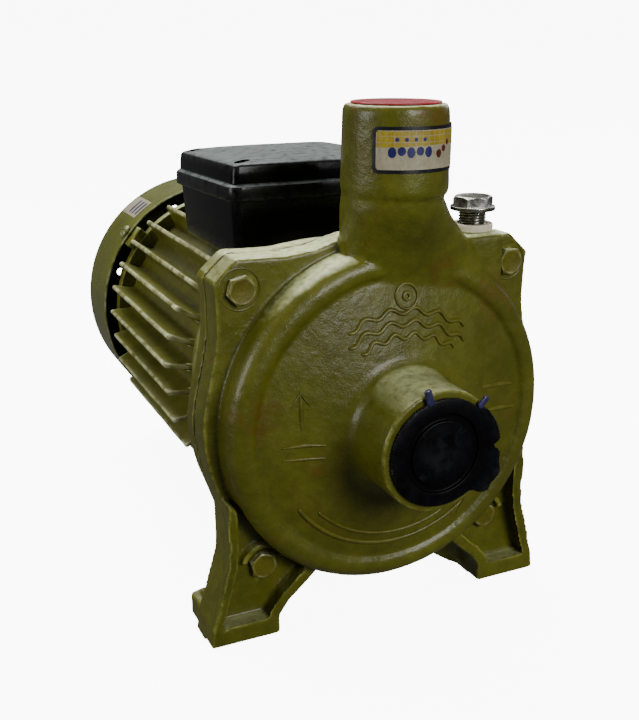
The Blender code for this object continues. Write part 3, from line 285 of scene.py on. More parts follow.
def hex_head(place, corner, low, high, chamfer_low=0.0, chamfer_high=0.0, dish=0.0):
    """A hexagon with its corners chamfered by a cone at either end, rows listed from low to high."""
    levels = []
    steps = (0, 0.25, 0.5, 0.75, 1)
    if chamfer_low:
        levels += [(corner - chamfer_low * 1.7 * (1 - t), low + chamfer_low * t) for t in steps]
    else:
        levels.append((corner, low))
    if chamfer_high:
        levels += [(corner - chamfer_high * 1.7 * t, high - chamfer_high * (1 - t)) for t in steps]
    else:
        levels.append((corner, high))
    rows = [[place @ Vector((0, 0, low + (dish if chamfer_low else 0)))]]
    if dish and chamfer_low:
        rows.append([place @ Vector((*polar(k * 3.75, corner * 0.62), low + dish)) for k in range(96)])
    for limit, height in levels:
        row = []
        for k in range(96):
            angle = 2 * math.pi * k / 96
            r = hex_section(corner, limit, angle)
            row.append(place @ Vector((r * math.cos(angle), r * math.sin(angle), height)))
        rows.append(row)
    if dish and chamfer_high:
        rows.append([place @ Vector((*polar(k * 3.75, corner * 0.62), high - dish)) for k in range(96)])
    rows.append([place @ Vector((0, 0, high - (dish if chamfer_high else 0)))])
    return skin(rows)


def thread(place, radius, depth, low, high, pitch, sides=64):
    """A helical V thread with plain ends."""
    rows = [[place @ Vector((0, 0, low))]]
    count = int((high - low) / pitch * 8)
    for i in range(count + 1):
        height = low + (high - low) * i / count
        fade = min(1.0, i / 6, (count - i) / 6)
        row = []
        for k in range(sides):
            turn = (height / pitch - k / sides) % 1.0
            r = radius - depth * fade * (1 - abs(turn - 0.5) * 2) - 0.2 * (1 - fade)
            row.append(place @ Vector((*polar(360 * k / sides, r), height)))
        rows.append(row)
    rows.append([place @ Vector((0, 0, high))])
    return skin(rows)


def patch(columns, place, radius, thickness, ends=2):
    """A thin closed plate bent round local Z; columns are (angle in degrees, low, high)."""
    rows = []
    for angle, low, high in columns:
        levels = [low + (high - low) * i / ends for i in range(ends + 1)]
        outer = [place @ Vector((*polar(angle, radius + thickness), h)) for h in levels]
        inner = [place @ Vector((*polar(angle, radius), h)) for h in reversed(levels)]
        rows.append(outer + inner)
    return skin(rows)


# Working on objects
def part(*shapes):
    """One object from closed shapes."""
    whole_shape = bmesh.new()
    for shape in shapes:
        bmesh.ops.recalc_face_normals(shape, faces=shape.faces[:])
        mesh = bpy.data.meshes.new("work")
        shape.to_mesh(mesh)
        shape.free()
        whole_shape.from_mesh(mesh)
        bpy.data.meshes.remove(mesh)
    mesh = bpy.data.meshes.new("work")
    whole_shape.to_mesh(mesh)
    whole_shape.free()
    made = bpy.data.objects.new("work", mesh)
    bpy.context.scene.collection.objects.link(made)
    return made


def apply(thing):
    """Turns an object's modifiers into its mesh."""
    bpy.context.view_layer.update()
    mesh = bpy.data.meshes.new_from_object(thing.evaluated_get(bpy.context.evaluated_depsgraph_get()))
    thing.modifiers.clear()
    old = thing.data
    thing.data = mesh
    bpy.data.meshes.remove(old)
    return thing


def discard(*things):
    for thing in things:
        mesh = thing.data
        bpy.data.objects.remove(thing)
        bpy.data.meshes.remove(mesh)


def join(thing, *others):
    """Adds other objects to an object as they are."""
    merged = bmesh.new()
    for piece in (thing, *others):
        merged.from_mesh(piece.data)
    merged.to_mesh(thing.data)
    merged.free()
    discard(*others)
    return thing


def carve(thing, *cutters):
    """Cuts closed shapes out of an object."""
    tools = [part(shape) for shape in cutters]
    for tool in tools:
        modifier = thing.modifiers.new("cut", "BOOLEAN")
        modifier.operation = "DIFFERENCE"
        modifier.solver = "MANIFOLD"
        modifier.object = tool
    apply(thing)
    discard(*tools)
    return thing


def cast(thing, voxel, smoothing, keep, rough):
    """Merges shapes into one skin with the rounded corners and uneven surface of a sand casting."""
    remesh = thing.modifiers.new("remesh", "REMESH")
    remesh.mode = "VOXEL"
    remesh.voxel_size = voxel
    smooth = thing.modifiers.new("smooth", "SMOOTH")
    smooth.factor = 0.5
    smooth.iterations = smoothing
    if keep < 1:
        thin = thing.modifiers.new("thin", "DECIMATE")
        thin.ratio = keep
    apply(thing)
    roughen(thing, rough)
    return thing


def roughen(thing, amount):
    mesh = thing.data
    places = np.empty(len(mesh.vertices) * 3)
    mesh.vertices.foreach_get("co", places)
    places = places.reshape(-1, 3)
    outwards = np.array([tuple(entry.vector) for entry in mesh.vertex_normals])
    heights = np.empty(len(places))
    for i, place in enumerate(places):
        point = Vector(place)
        heights[i] = 0.9 * noise.noise(point * 0.045) + 0.8 * noise.noise(point * 0.16)
        heights[i] += 0.45 * noise.noise(point * 0.55)
    places += outwards * (heights * amount)[:, None]
    mesh.vertices.foreach_set("co", places.ravel())
    mesh.update()


def keep_inside(thing, axis, low=None, high=None, above=0.0):
    """Flattens machined faces that the uneven skin went past, above a height."""
    for vertex in thing.data.vertices:
        if vertex.co.z < above:
            continue
        if low is not None and vertex.co[axis] < low:
            vertex.co[axis] = low
        if high is not None and vertex.co[axis] > high:
            vertex.co[axis] = high


def finished(name, thing, finish, replaces=None, body="pump_body", crease=35, extra=()):
    """Names a piece, moves it into the row frame, and gives it its finish, body and replaced node."""
    mesh = thing.data
    mesh.materials.clear()
    mesh.materials.append(finish)
    for polygon in mesh.polygons:
        polygon.material_index = 0
    for index, (material, test) in enumerate(extra, 1):
        mesh.materials.append(material)
        for polygon in mesh.polygons:
            if test(polygon.center, polygon.normal):
                polygon.material_index = index
    mesh.transform(TO_ROW)
    mesh.shade_smooth()
    mesh.set_sharp_from_angle(angle=math.radians(crease))
    thing.name = name
    mesh.name = name
    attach(thing, body)
    if replaces:
        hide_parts(replaces)


# Materials
class Finish:
    """A Principled material put together from procedural nodes."""

    def __init__(self, name, **values):
        self.material = bpy.data.materials.new(name)
        self.material.use_nodes = True
        self.tree = self.material.node_tree
        self.shader = self.tree.nodes["Principled BSDF"]
        self.put(self.shader, values)
        self.place = self.add("ShaderNodeTexCoord").outputs["Object"]
        geometry = self.add("ShaderNodeNewGeometry")
        self.edge = geometry.outputs["Pointiness"]
        self.up = self.add("ShaderNodeSeparateXYZ", Vector=geometry.outputs["Normal"]).outputs["Z"]
        self.height = self.add("ShaderNodeSeparateXYZ", Vector=self.place).outputs["Z"]

    def put(self, node, values):
        """Sets a node's inputs, by name or number, to numbers, colours or other nodes' outputs."""
        for key, value in values.items():
            socket = node.inputs[key.replace("_", " ") if isinstance(key, str) else key]
            if isinstance(value, bpy.types.NodeSocket):
                self.tree.links.new(value, socket)
            else:
                socket.default_value = (*value, 1) if socket.type == "RGBA" else value

    def add(self, kind, settings=None, **values):
        node = self.tree.nodes.new(kind)
        for key, value in (settings or {}).items():
            setattr(node, key, value)
        self.put(node, values)
        return node

    def noise(self, scale, detail=4.0, stretch=None, roughness=0.55):
        place = self.place
        if stretch:
            place = self.add("ShaderNodeMapping", Vector=place, Scale=stretch).outputs[0]
        return self.add("ShaderNodeTexNoise", Vector=place, Scale=scale, Detail=detail,
                        Roughness=roughness).outputs["Fac"]

    def span(self, value, from_low, from_high, to_low=0.0, to_high=1.0):
        node = self.add("ShaderNodeMapRange", Value=value)
        self.put(node, {1: from_low, 2: from_high, 3: to_low, 4: to_high})
        return node.outputs[0]

    def times(self, a, b, operation="MULTIPLY"):
        node = self.add("ShaderNodeMath", {"operation": operation})
        self.put(node, {0: a, 1: b})
        return node.outputs[0]

    def blend(self, factor, a, b):
        node = self.add("ShaderNodeMix", {"data_type": "RGBA"})
        self.put(node, {0: factor, 6: a, 7: b})
        return node.outputs[2]

    def bump(self, height, strength, distance, before=None):
        more = {"Normal": before} if before else {}
        return self.add("ShaderNodeBump", Height=height, Strength=strength, Distance=distance,
                        **more).outputs[0]


def rgb(red, green, blue):
    """A linear colour from a display one."""
    return tuple(((c / 255 + 0.055) / 1.055) ** 2.4 if c > 10 else c / 255 / 12.92
                 for c in (red, green, blue))


def surface(name, dark, light, roughness=(0.35, 0.55), metallic=0.0, coat=0.0, wide=22.0, grain=0.25,
            fine=1400.0, middle=0.2, edge_highlight=None, edge_highlight_strength=0.6, dust_and_top_light=None, dust_and_top_light_amount=0.3, crease_shade=None, chips=None,
            chipped=0.68, brushed=None, patches=None, specular=0.5):
    """A finish in two mixed shades, with optional painted edge highlights, dust with painted top light,
    painted shade in creases, chips and patches.

    Colours are display ones, and the three noise sizes, wide to fine, are per metre.
    """
    dark, light, edge_highlight, dust_and_top_light, crease_shade, chips, patches = (
        colour and rgb(*colour) for colour in (dark, light, edge_highlight, dust_and_top_light, crease_shade, chips, patches))
    f = Finish(name, Metallic=metallic, Coat_Weight=coat, Coat_Roughness=0.12,
               Specular_IOR_Level=specular)
    broad = f.span(f.noise(wide, 6.0), 0.3, 0.7)
    mottled = f.span(f.noise(wide * 7, 5.0), 0.35, 0.7)
    colour = f.blend(broad, dark, light)
    colour = f.blend(f.times(mottled, 0.45), colour, tuple(c * 0.62 for c in dark))
    rough = f.span(f.noise(wide * 4, 5.0), 0.3, 0.7, *roughness)
    if brushed:
        lines = f.noise(60.0, 3.0, brushed)
        colour = f.blend(f.times(f.span(lines, 0.35, 0.65), 0.35), colour, tuple(c * 0.6 for c in dark))
        rough = f.times(rough, f.span(lines, 0.3, 0.7, -0.08, 0.1), "ADD")
    if patches:
        factor = f.times(f.span(f.noise(wide * 1.6, 8.0, None, 0.65), 0.58, 0.66), 0.75)
        colour = f.blend(factor, colour, patches)
        rough = f.times(rough, f.times(factor, 0.12), "ADD")
    # Painted shade: a dark colour is blended into creases and hollows (low pointiness), where shadow
    # falls.
    if crease_shade:
        factor = f.times(f.span(f.edge, 0.49, 0.42), f.span(f.noise(180.0, 5.0), 0.35, 0.6))
        colour = f.blend(factor, colour, crease_shade)
    # Painted top light with some dust: faces turned upwards, more so above 0.16 m, are blended towards a
    # pale colour as if lit from overhead.
    if dust_and_top_light:
        factor = f.times(f.span(f.up, 0.66, 0.99), f.span(f.noise(260.0, 8.0, None, 0.7), 0.22, 0.55))
        factor = f.times(factor, f.span(f.height, 0.12, 0.16, dust_and_top_light_amount * 0.22, dust_and_top_light_amount))
        colour = f.blend(factor, colour, dust_and_top_light)
        rough = f.times(rough, f.times(factor, 0.3), "ADD")
    height = f.times(f.noise(fine, 3.0), f.times(f.noise(fine * 0.22, 4.0), middle * 8), "ADD")
    normal = f.bump(height, grain, 0.0004)
    # Painted highlight: convex edges (high pointiness) are blended towards a pale colour as if catching
    # the light.
    if edge_highlight:
        factor = f.times(f.span(f.edge, 0.515, 0.56), f.span(f.noise(140.0, 6.0, None, 0.65), 0.38, 0.58))
        factor = f.times(factor, edge_highlight_strength)
        colour = f.blend(factor, colour, edge_highlight)
    if chips:
        mask = f.span(f.noise(95.0, 10.0, None, 0.62), chipped, chipped + 0.015)
        colour = f.blend(mask, colour, chips)
        rough = f.times(rough, f.times(mask, 0.25), "ADD")
        normal = f.bump(f.times(mask, -1.0), 0.5, 0.0003, normal)
    f.put(f.shader, {"Base Color": colour, "Roughness": rough, "Normal": normal})
    return f.material


# In these finishes the edge colour is a painted highlight, the up-facing colour is painted top light with
# some dust (a painted reflection of the overhead light on the black plastic), and the crease colour is
# painted shade.
CASTING = surface("green_casting_paint", (67, 67, 12), (88, 89, 22), (0.28, 0.42), coat=0.1, grain=0.42,
                  middle=0.3, edge_highlight=(150, 152, 70), edge_highlight_strength=0.6, dust_and_top_light=(236, 244, 186), dust_and_top_light_amount=0.72,
                  crease_shade=(10, 8, 0), chips=(210, 206, 160), chipped=0.745, patches=(80, 62, 12),
                  specular=0.22)
FRAME_PAINT = surface("green_frame_paint", (76, 76, 12), (102, 103, 24), (0.3, 0.46), coat=0.15,
                      grain=0.22, middle=0.16, edge_highlight=(214, 216, 170), edge_highlight_strength=0.85, dust_and_top_light=(196, 198, 150),
                      dust_and_top_light_amount=0.14, crease_shade=(8, 7, 0), specular=0.45)
SHEET_PAINT = surface("green_sheet_paint", (72, 75, 8), (90, 94, 16), (0.2, 0.32), coat=0.3, grain=0.08,
                      middle=0.2, wide=12.0, edge_highlight=(206, 210, 170), edge_highlight_strength=0.4, dust_and_top_light=(196, 200, 160),
                      dust_and_top_light_amount=0.12, specular=0.4)
BOLT_PAINT = surface("green_bolt_paint", (70, 66, 5), (92, 88, 12), (0.32, 0.5), coat=0.12, grain=0.3,
                     edge_highlight=(170, 170, 120), edge_highlight_strength=0.6, dust_and_top_light=(226, 228, 198), dust_and_top_light_amount=0.6, crease_shade=(12, 10, 2),
                     wide=90.0, specular=0.3)
RELIEF_PAINT = surface("green_relief_paint", (66, 63, 3), (86, 84, 8), (0.32, 0.48), coat=0.12, grain=0.3,
                       edge_highlight=(104, 100, 44), edge_highlight_strength=0.35, wide=60.0, specular=0.3)
BLACK = surface("black_plastic_gloss", (2, 2, 2), (5, 6, 5), (0.16, 0.26), grain=0.05, middle=0.2,
                wide=30.0, edge_highlight=(110, 112, 108), edge_highlight_strength=0.16, dust_and_top_light=(140, 148, 146), dust_and_top_light_amount=0.62,
                specular=0.1)
PLUG_BLACK = surface("black_plug_plastic", (2, 2, 3), (5, 5, 8), (0.34, 0.46), grain=0.14, wide=60.0,
                     edge_highlight=(70, 72, 74), edge_highlight_strength=0.12, specular=0.08)
TAB_BLUE = surface("blue_black_tab", (24, 22, 46), (52, 48, 96), (0.25, 0.4), grain=0.1, wide=200.0)
RED = surface("red_plastic_cap", (120, 8, 22), (166, 16, 34), (0.3, 0.5), grain=0.1, wide=50.0,
              dust_and_top_light=(190, 120, 120), dust_and_top_light_amount=0.06)
RUBBER = surface("rubber_dull", (12, 12, 12), (26, 26, 25), (0.6, 0.8), grain=0.3, wide=60.0,
                 dust_and_top_light=(70, 70, 66), dust_and_top_light_amount=0.3)
FIBRE = surface("fibre_pale", (186, 178, 150), (222, 216, 192), (0.55, 0.75), grain=0.3, wide=120.0,
                crease_shade=(90, 80, 50), edge_highlight=(235, 232, 215))
ZINC = surface("zinc_plate", (66, 64, 50), (140, 140, 126), (0.2, 0.42), metallic=0.95, grain=0.14,
               wide=80.0, edge_highlight=(235, 235, 232), crease_shade=(60, 58, 48), patches=(170, 164, 140))
STEEL = surface("steel_ground", (120, 120, 120), (176, 176, 176), (0.16, 0.32), metallic=1.0, grain=0.06,
                wide=60.0, brushed=(1, 14, 1))
STAINLESS = surface("stainless_turned", (150, 150, 148), (196, 196, 194), (0.14, 0.3), metallic=1.0,
                    grain=0.05, wide=40.0, brushed=(1, 16, 1))
LAMINATION = surface("lamination_steel", (58, 60, 64), (92, 94, 98), (0.38, 0.55), metallic=0.85,
                     grain=0.3, wide=50.0, brushed=(1, 30, 1))
COPPER = surface("copper_enamelled", (120, 50, 18), (178, 88, 40), (0.25, 0.45), metallic=0.8, grain=0.5,
                 fine=900.0, wide=80.0, brushed=(1, 12, 1))
BRASS = surface("brass_cast", (150, 112, 44), (196, 156, 78), (0.28, 0.5), metallic=0.95, grain=0.35,
                wide=60.0, crease_shade=(60, 42, 16), edge_highlight=(230, 200, 130))
CERAMIC = surface("ceramic_seat", (206, 200, 188), (232, 228, 218), (0.15, 0.3), grain=0.05, wide=90.0)
GREY = surface("grey_plastic", (88, 90, 92), (116, 118, 120), (0.35, 0.55), grain=0.16, wide=50.0,
               edge_highlight=(150, 152, 154), dust_and_top_light=(150, 150, 142), dust_and_top_light_amount=0.3)
RAW_IRON = surface("raw_cast_iron", (62, 52, 44), (96, 82, 70), (0.5, 0.75), metallic=0.55, grain=0.55,
                   wide=60.0, patches=(104, 58, 28), crease_shade=(26, 20, 16))
LABEL_BLACK = surface("label_border", (5, 4, 12), (10, 10, 20), (0.3, 0.45), grain=0.05, wide=80.0)
LABEL_WHITE = surface("label_white", (134, 128, 104), (158, 152, 128), (0.35, 0.5), grain=0.06,
                      wide=120.0)
LABEL_YELLOW = surface("label_yellow", (126, 106, 8), (150, 132, 34), (0.35, 0.5), grain=0.06, wide=140.0)
LABEL_BLUE = surface("label_blue", (8, 10, 66), (14, 18, 92), (0.35, 0.5), grain=0.05, wide=120.0)
LABEL_RED = surface("label_red", (70, 8, 10), (98, 18, 20), (0.35, 0.5), grain=0.05, wide=120.0)

SLOT_FINISH = {
    "green_casting": CASTING, "green_frame": FRAME_PAINT, "green_sheet": SHEET_PAINT,
    "green_bolt": BOLT_PAINT, "black_plastic": BLACK, "red_plastic": RED, "rubber": RUBBER,
    "fibre": FIBRE, "zinc": ZINC, "steel": STEEL, "stainless": STAINLESS, "lamination": LAMINATION,
    "copper": COPPER, "brass": BRASS, "ceramic": CERAMIC, "grey_plastic": GREY,
}
for node, node_slot in NODE_SLOT.items():
    carried = frame["nodes"][node]
    carried.data.materials.clear()
    carried.data.materials.append(SLOT_FINISH[node_slot])
    carried.data.shade_smooth()
    carried.data.set_sharp_from_angle(angle=math.radians(30))


# Pump casing
def dome_y(x, z):
    """How far forward the casing's face is at a place in the front view."""
    r = math.hypot(x, z - AXIS)
    if r > DOME[0][0]:
        return -33.0
    r = max(r, BOSS_RADIUS)
    inner = next(i for i, (radius, y) in enumerate(DOME) if radius <= r)
    if inner == 0:
        return DOME[0][1]
    (r1, y1), (r0, y0) = DOME[inner - 1], DOME[inner]
    return y0 + (y1 - y0) * (r - r0) / (r1 - r0)


def ring_at(x_low, x_high, y_low, y_high, z, power, sides=96):
    half_x, half_y = (x_high - x_low) / 2, (y_high - y_low) / 2
    row = []
    for i in range(sides):
        c, s = polar(360 * i / sides, 1.0)
        row.append(Vector(((x_low + x_high) / 2 + half_x * math.copysign(abs(c) ** (2 / power), c),
                           (y_low + y_high) / 2 + half_y * math.copysign(abs(s) ** (2 / power), s), z)))
    return row


def build_casing():
    nose = 8.0
    rim = [(82.4 - nose + nose * math.cos(a), -33.0 + nose - nose * math.sin(a))
           for a in (math.pi / 2 * i / 12 for i in range(13))]
    boss = eased([(BOSS_RADIUS, -46), (BOSS_RADIUS, -71.5), (26.5, -71.5)], 2.0, 5, True)[1:]
    drum = lathe([(0, -1.1), (82.4, -1.1)] + rim + eased(DOME, 1.2, 3, True) + boss + [(0, -71.5)],
                 sides=180)
    outline = whole(FLANGE_TOP + eased(FLANGE_SIDE, 5, 3, True) + LEG_OUTSIDE + LEG_INSIDE)
    plate = slab(outline, -15, -0.8, ease_low=1.2)
    shells = [drum, plate]
    for side in (-1, 1):
        turn = mirrored if side < 0 else list
        edge = [(82, 74)] + LEG_OUTSIDE + LEG_INSIDE + LEG_POCKET
        shells.append(slab(turn(eased(edge, 1.6, 3)), -24, -14, ease_low=1.3))
        hood = [(62.6 + x, 35.5 + z) for x, z in (polar(14 + 152 * i / 16, 11.9) for i in range(17))]
        hood += [(62.6 + x, 35.5 + z) for x, z in (polar(166 - 152 * i / 16, 8.9) for i in range(17))]
        shells.append(slab(turn(hood), -18.4, -13, ease_low=1.0))
        sole = eased([(59, -8), (90, -8), (90.6, 14), (50, 14), (53, 3)], 3.0, 4)
        shells.append(slab(turn(sole), 0, 11.5, TOP, ease_high=1.5))
        slope = eased([(-9, 4), (13.6, 4), (13.6, 12), (7, 14), (2.5, 19), (-2, 24), (-9, 23)], 1.5, 3)
        shells.append(slab(slope, *sorted((side * 54, side * 86.5)), SIDE, 1.5, 1.5))
    levels = [(148, -20.5, 74, -28, -3.2, 3.4), (163, -20.5, 62.3, -31, -2.6, 3.2),
              (175, -21.3, 49.5, -33.4, -2.5, 2.8), (187, -22.5, 39.5, -38, -2.4, 2.4),
              (198, -23.6, 28.8, -44.2, -2.3, 2.2), (205, -24.0, 23.9, -47, -2.4, 2.1),
              (212, -23.4, 20.0, -47.6, -3, 2)]
    shells.append(skin([ring_at(left, right, front, rear, z, power)
                        for z, left, right, front, rear, power in flowing(levels)]))
    collar = [(21.9, 249.0), (22.9, 247.6), (23.3, 245), (24.0, 213.0), (23.2, 210.8), (21.2, 209.8)]
    shells.append(lathe([(0, 249.0)] + eased(collar, 1.2, 4, True) + [(0, 209.8)], upright(*COLLAR), 120))
    boss_outline = rounded_rect(30, 60.5, -27, -3, 5.0)
    shells.append(slab(boss_outline, 150, 188, TOP, ease_high=3.0, steps=5))
    casing = cast(part(*shells), CASING_VOXEL, 3, 0.62, 0.16)
    keep_inside(casing, 1, high=-0.8, above=24.4)
    keep_inside(casing, 2, low=0.0, high=249.0, above=-50)
    chamber = lathe([(0, 2), (74, 2)]
                    + eased([(74, -17), (72, -22), (68, -25.5), (33, -33.2), (19.6, -35.5), (19.6, -42),
                             (14, -43.5), (14, -54), (PORT_RADIUS, -55.4)], 1.0, 3, True)
                    + [(PORT_RADIUS, -73), (0, -73)], sides=120)
    mouth = disc(PORT_RADIUS, 227, 250, upright(*COLLAR))
    start, end = Vector((*COLLAR, 230)), Vector((3, -14, 162))
    aim = (end - start).to_track_quat("Z", "Y").to_matrix().to_4x4()
    passage = disc(11.5, 0, (end - start).length, Matrix.Translation(start) @ aim, 64)
    priming = disc(6.9, 150, 189, upright(*PRIMING), 48)
    bolts = [disc(4.4, -30, 1, level(x, z), 32) for x, z in BOLTS]
    feet = [disc(4.0, -1, 30, upright(side * 72, 7.5), 40) for side in (-1, 1)]
    carve(casing, chamber, mouth, passage, priming, *bolts, *feet)

    def bare(centre, normal):
        r = math.hypot(centre.x, centre.z - AXIS)
        inside = r < 74.3 and centre.y > dome_y(centre.x, centre.z) + 3 and centre.z < 178.5
        in_suction = r < 16 and centre.y < -30 and centre.y > -71.2
        from_collar = math.hypot(centre.x - COLLAR[0], centre.y - COLLAR[1])
        from_priming = math.hypot(centre.x - PRIMING[0], centre.y - PRIMING[1])
        in_mouth = from_collar < 15.6 and 200 < centre.z < 248.8
        in_priming = from_priming < 7 and 150 < centre.z < 187.6
        return (inside and (normal.y > -0.05 or r > 73)) or in_suction or in_mouth or in_priming

    finished("casing_visual", casing, CASTING, "pump_casing", extra=[(RAW_IRON, bare)])


def build_relief():
    """Generic raised marks: ring and dot, wavy lines, arrow, bars, and the turning direction below."""
    def face(x, z):
        return dome_y(x, z) + 0.15

    def circle(cx, cz, radius, count=36):
        return [(cx + x, cz + z) for x, z in (polar(360 * i / count, radius) for i in range(count))]

    def arc(radius, start, end, count=40):
        points = (polar(start + (end - start) * i / count, radius) for i in range(count + 1))
        return [(x, AXIS + z) for x, z in points]

    marks = [bead(circle(3.2, 165.0, 5.6), 1.5, 1.0, face, True),
             bead(circle(3.2, 165.0, 1.6, 16), 1.8, 1.1, face, True)]
    for radius, swing in ((54.5, 34), (49.0, 38), (43.5, 34)):
        wave = (polar(86 - swing + 2 * swing * i / 60, radius + 1.35 * math.sin(2 * math.pi * i / 12))
                for i in range(61))
        marks.append(bead([(x, AXIS + z) for x, z in wave], 2.1, 1.3, face))
    for path, width, height in (([(-50.2, 109.5), (-50.0, 118), (-50.2, 125.8)], 2.6, 1.5),
                                ([(-54.6, 120.4), (-50.2, 126.6), (-45.8, 120.8)], 2.2, 1.4),
                                ([(-59.0, 101.5), (-49, 102.4), (-39.5, 101.5)], 2.2, 1.3),
                                ([(-58.6, 95.4), (-49, 95.6), (-39.5, 95.2)], 2.2, 1.3),
                                ([(44.0, 116.2), (54, 115.4), (64.5, 113.6)], 3.0, 1.3),
                                ([(45.6, 103.6), (55, 103.0), (66.6, 101.2)], 3.0, 1.3),
                                (arc(61.5, -146, -52), 2.4, 1.4), (arc(55.8, -138, -62), 1.8, 1.2)):
        marks.append(bead(path, width, height, face))
    tip = polar(-49, 61.5)
    for turn, reach in ((-57, 65.8), (-57, 57.2)):
        back = polar(turn, reach)
        marks.append(bead([(back[0], AXIS + back[1]), (tip[0], AXIS + tip[1])], 2.4, 1.4, face))
    for x, z in BOLTS[:2]:
        place = level(x, z)
        marks.append(lathe(eased([(8.8, -14), (10.0, -14), (10.0, -15.1), (9.5, -15.4), (8.8, -15.1)],
                                 0.4, 3), place, 72))
    finished("casing_relief", part(*marks), RELIEF_PAINT, crease=50)


def build_label():
    """A printed panel round the discharge collar: plain colour fields and simple shapes."""
    place = upright(*COLLAR)
    left, right, low, high = -142.0, -14.0, 221.9, 241.0

    def panel(a0, a1, z0, z1, corner, radius, count=60):
        columns = []
        for i in range(count + 1):
            angle = a0 + (a1 - a0) * i / count
            reach = min(angle - a0, a1 - angle) * math.radians(1) * COLLAR_RADIUS
            cut = corner - math.sqrt(max(corner ** 2 - (corner - reach) ** 2, 0)) if reach < corner else 0
            columns.append((angle, z0 + cut, z1 - cut))
        return patch(columns, place, radius, 0.08, 3)

    def blob(angle, z, wide, tall, count=14):
        columns = []
        for i in range(count + 1):
            t = -1 + 2 * i / count
            reach = max(math.sqrt(max(1 - t * t, 0)), 0.04) * tall / 2
            columns.append((angle + math.degrees(t * wide / 2 / COLLAR_RADIUS), z - reach, z + reach))
        return patch(columns, place, LABEL_RADIUS + 0.24, 0.06, 1)

    finished("label_border_panel", part(panel(left, right, low, high, 2.2, LABEL_RADIUS)), LABEL_BLACK)
    inner = (left + 3.6, right - 3.6)
    finished("label_white_panel", part(panel(*inner, low + 1.5, high - 1.5, 1.0, LABEL_RADIUS + 0.1)),
             LABEL_WHITE)
    yellow = [(inner[0] + 0.7 + (inner[1] - inner[0] - 1.4) * i / 60,
               232.6 + 1.3 * math.sin(i / 60 * 3.4) * (i / 60), high - 1.8) for i in range(61)]
    finished("label_yellow_panel", part(patch(yellow, place, LABEL_RADIUS + 0.18, 0.04, 2)), LABEL_YELLOW)
    lines = []
    for i in range(16):
        angle = inner[0] + 4 + i * 7.2
        lines.append(patch([(angle - 0.22, low + 5.5, high - 1.9), (angle + 0.22, low + 5.5, high - 1.9)],
                           place, LABEL_RADIUS + 0.21, 0.03, 3))
    for z in (229.4, 232.0, 234.6, 237.2):
        columns = [(inner[0] + 1 + (inner[1] - inner[0] - 2) * i / 60, z - 0.09, z + 0.09)
                   for i in range(61)]
        lines.append(patch(columns, place, LABEL_RADIUS + 0.21, 0.03, 1))
    finished("label_grid", part(*lines), LABEL_WHITE)
    drops = [blob(angle, 230.6 + 0.5 * (n % 2), 3.4, 4.4 - 0.8 * (n % 2))
             for n, angle in enumerate((-122, -112.5, -103, -93.5, -84))]
    drops += [blob(angle, 235.8, 1.6, 1.6) for angle in (-117.2, -107.7, -98.2, -88.7)]
    finished("label_blue_shapes", part(*drops), LABEL_BLUE)
    dots = [blob(-70, 229.6, 3.2, 3.4), blob(-62.5, 231.6, 2.6, 2.8), blob(-55.5, 234.0, 2.2, 2.4)]
    finished("label_red_shape", part(*dots), LABEL_RED)


# Plugs, cap and bolts
def build_port_plugs():
    ragged = flowing([(-90, 0), (-60, 0.3), (-52, 1.4), (-48, 5.4), (-42, 8.4), (-37, 7.6), (-30, 8.6),
                      (-24, 8.8), (-17, 6.4), (-9, 5.6), (-4, 2.6), (-1, 1.9), (3, 4.8), (12, 4.6),
                      (22, 4.2), (30, 3.4), (38, 3.0), (44, 1.2), (52, 0.2), (90, 0)], 4)

    def lobes(index, angle, radius):
        if radius < 24.8:
            return radius
        turn = (-math.degrees(angle) + 180) % 360 - 180
        grown = 0.0
        for (a0, g0), (a1, g1) in zip(ragged, ragged[1:]):
            if a0 <= turn <= a1:
                grown = g0 + (g1 - g0) * (turn - a0) / (a1 - a0)
        return radius + max(grown, 0) + 0.25 * math.sin(turn * 1.9)

    profile = ([(0, -73.7)] + eased([(0.1, -73.7), (15.0, -73.7), (15.3, -72.3), (18.2, -72.3),
                                     (18.6, -73.7), (24.3, -73.6)], 0.5, 3, True)
               + [(24.9, -73.3), (25.2, -72.8), (25.0, -72.0)]
               + eased([(24.4, -71.85), (15.0, -71.85), (15.0, -58), (13.2, -58), (13.2, -71.4),
                        (0.1, -71.4)], 0.4, 3, True) + [(0, -71.4)])
    plug = part(lathe(profile, SHAFT, 240, lobes))
    finished("suction_plug_visual", plug, PLUG_BLACK, "suction_plug", "suction_plug")
    tabs = []
    for angle, inner, outer, wide in ((106, 24.2, 32.0, 3.4), (46.5, 25.4, 31.8, 3.0)):
        outline = rounded_rect(inner, outer, -wide / 2, wide / 2, 1.3, 5)
        tabs.append(slab(outline, -74.2, -72.6, around(-angle) @ FRONT, 0.6, 0.6))
    finished("suction_plug_tabs", part(*tabs), TAB_BLUE, None, "suction_plug")
    cap = ([(0, 249.75)] + eased([(0.1, 249.75), (15.5, 249.75), (16.6, 249.99), (19.8, 249.99),
                                  (19.8, 249.3), (15.0, 249.3), (15.0, 238), (13.4, 238), (13.4, 248.4),
                                  (0.1, 248.4)], 0.3, 3, True) + [(0, 248.4)])
    finished("discharge_cap_visual", part(lathe(cap, upright(*COLLAR), 160)), RED, "discharge_cap",
             "discharge_cap")


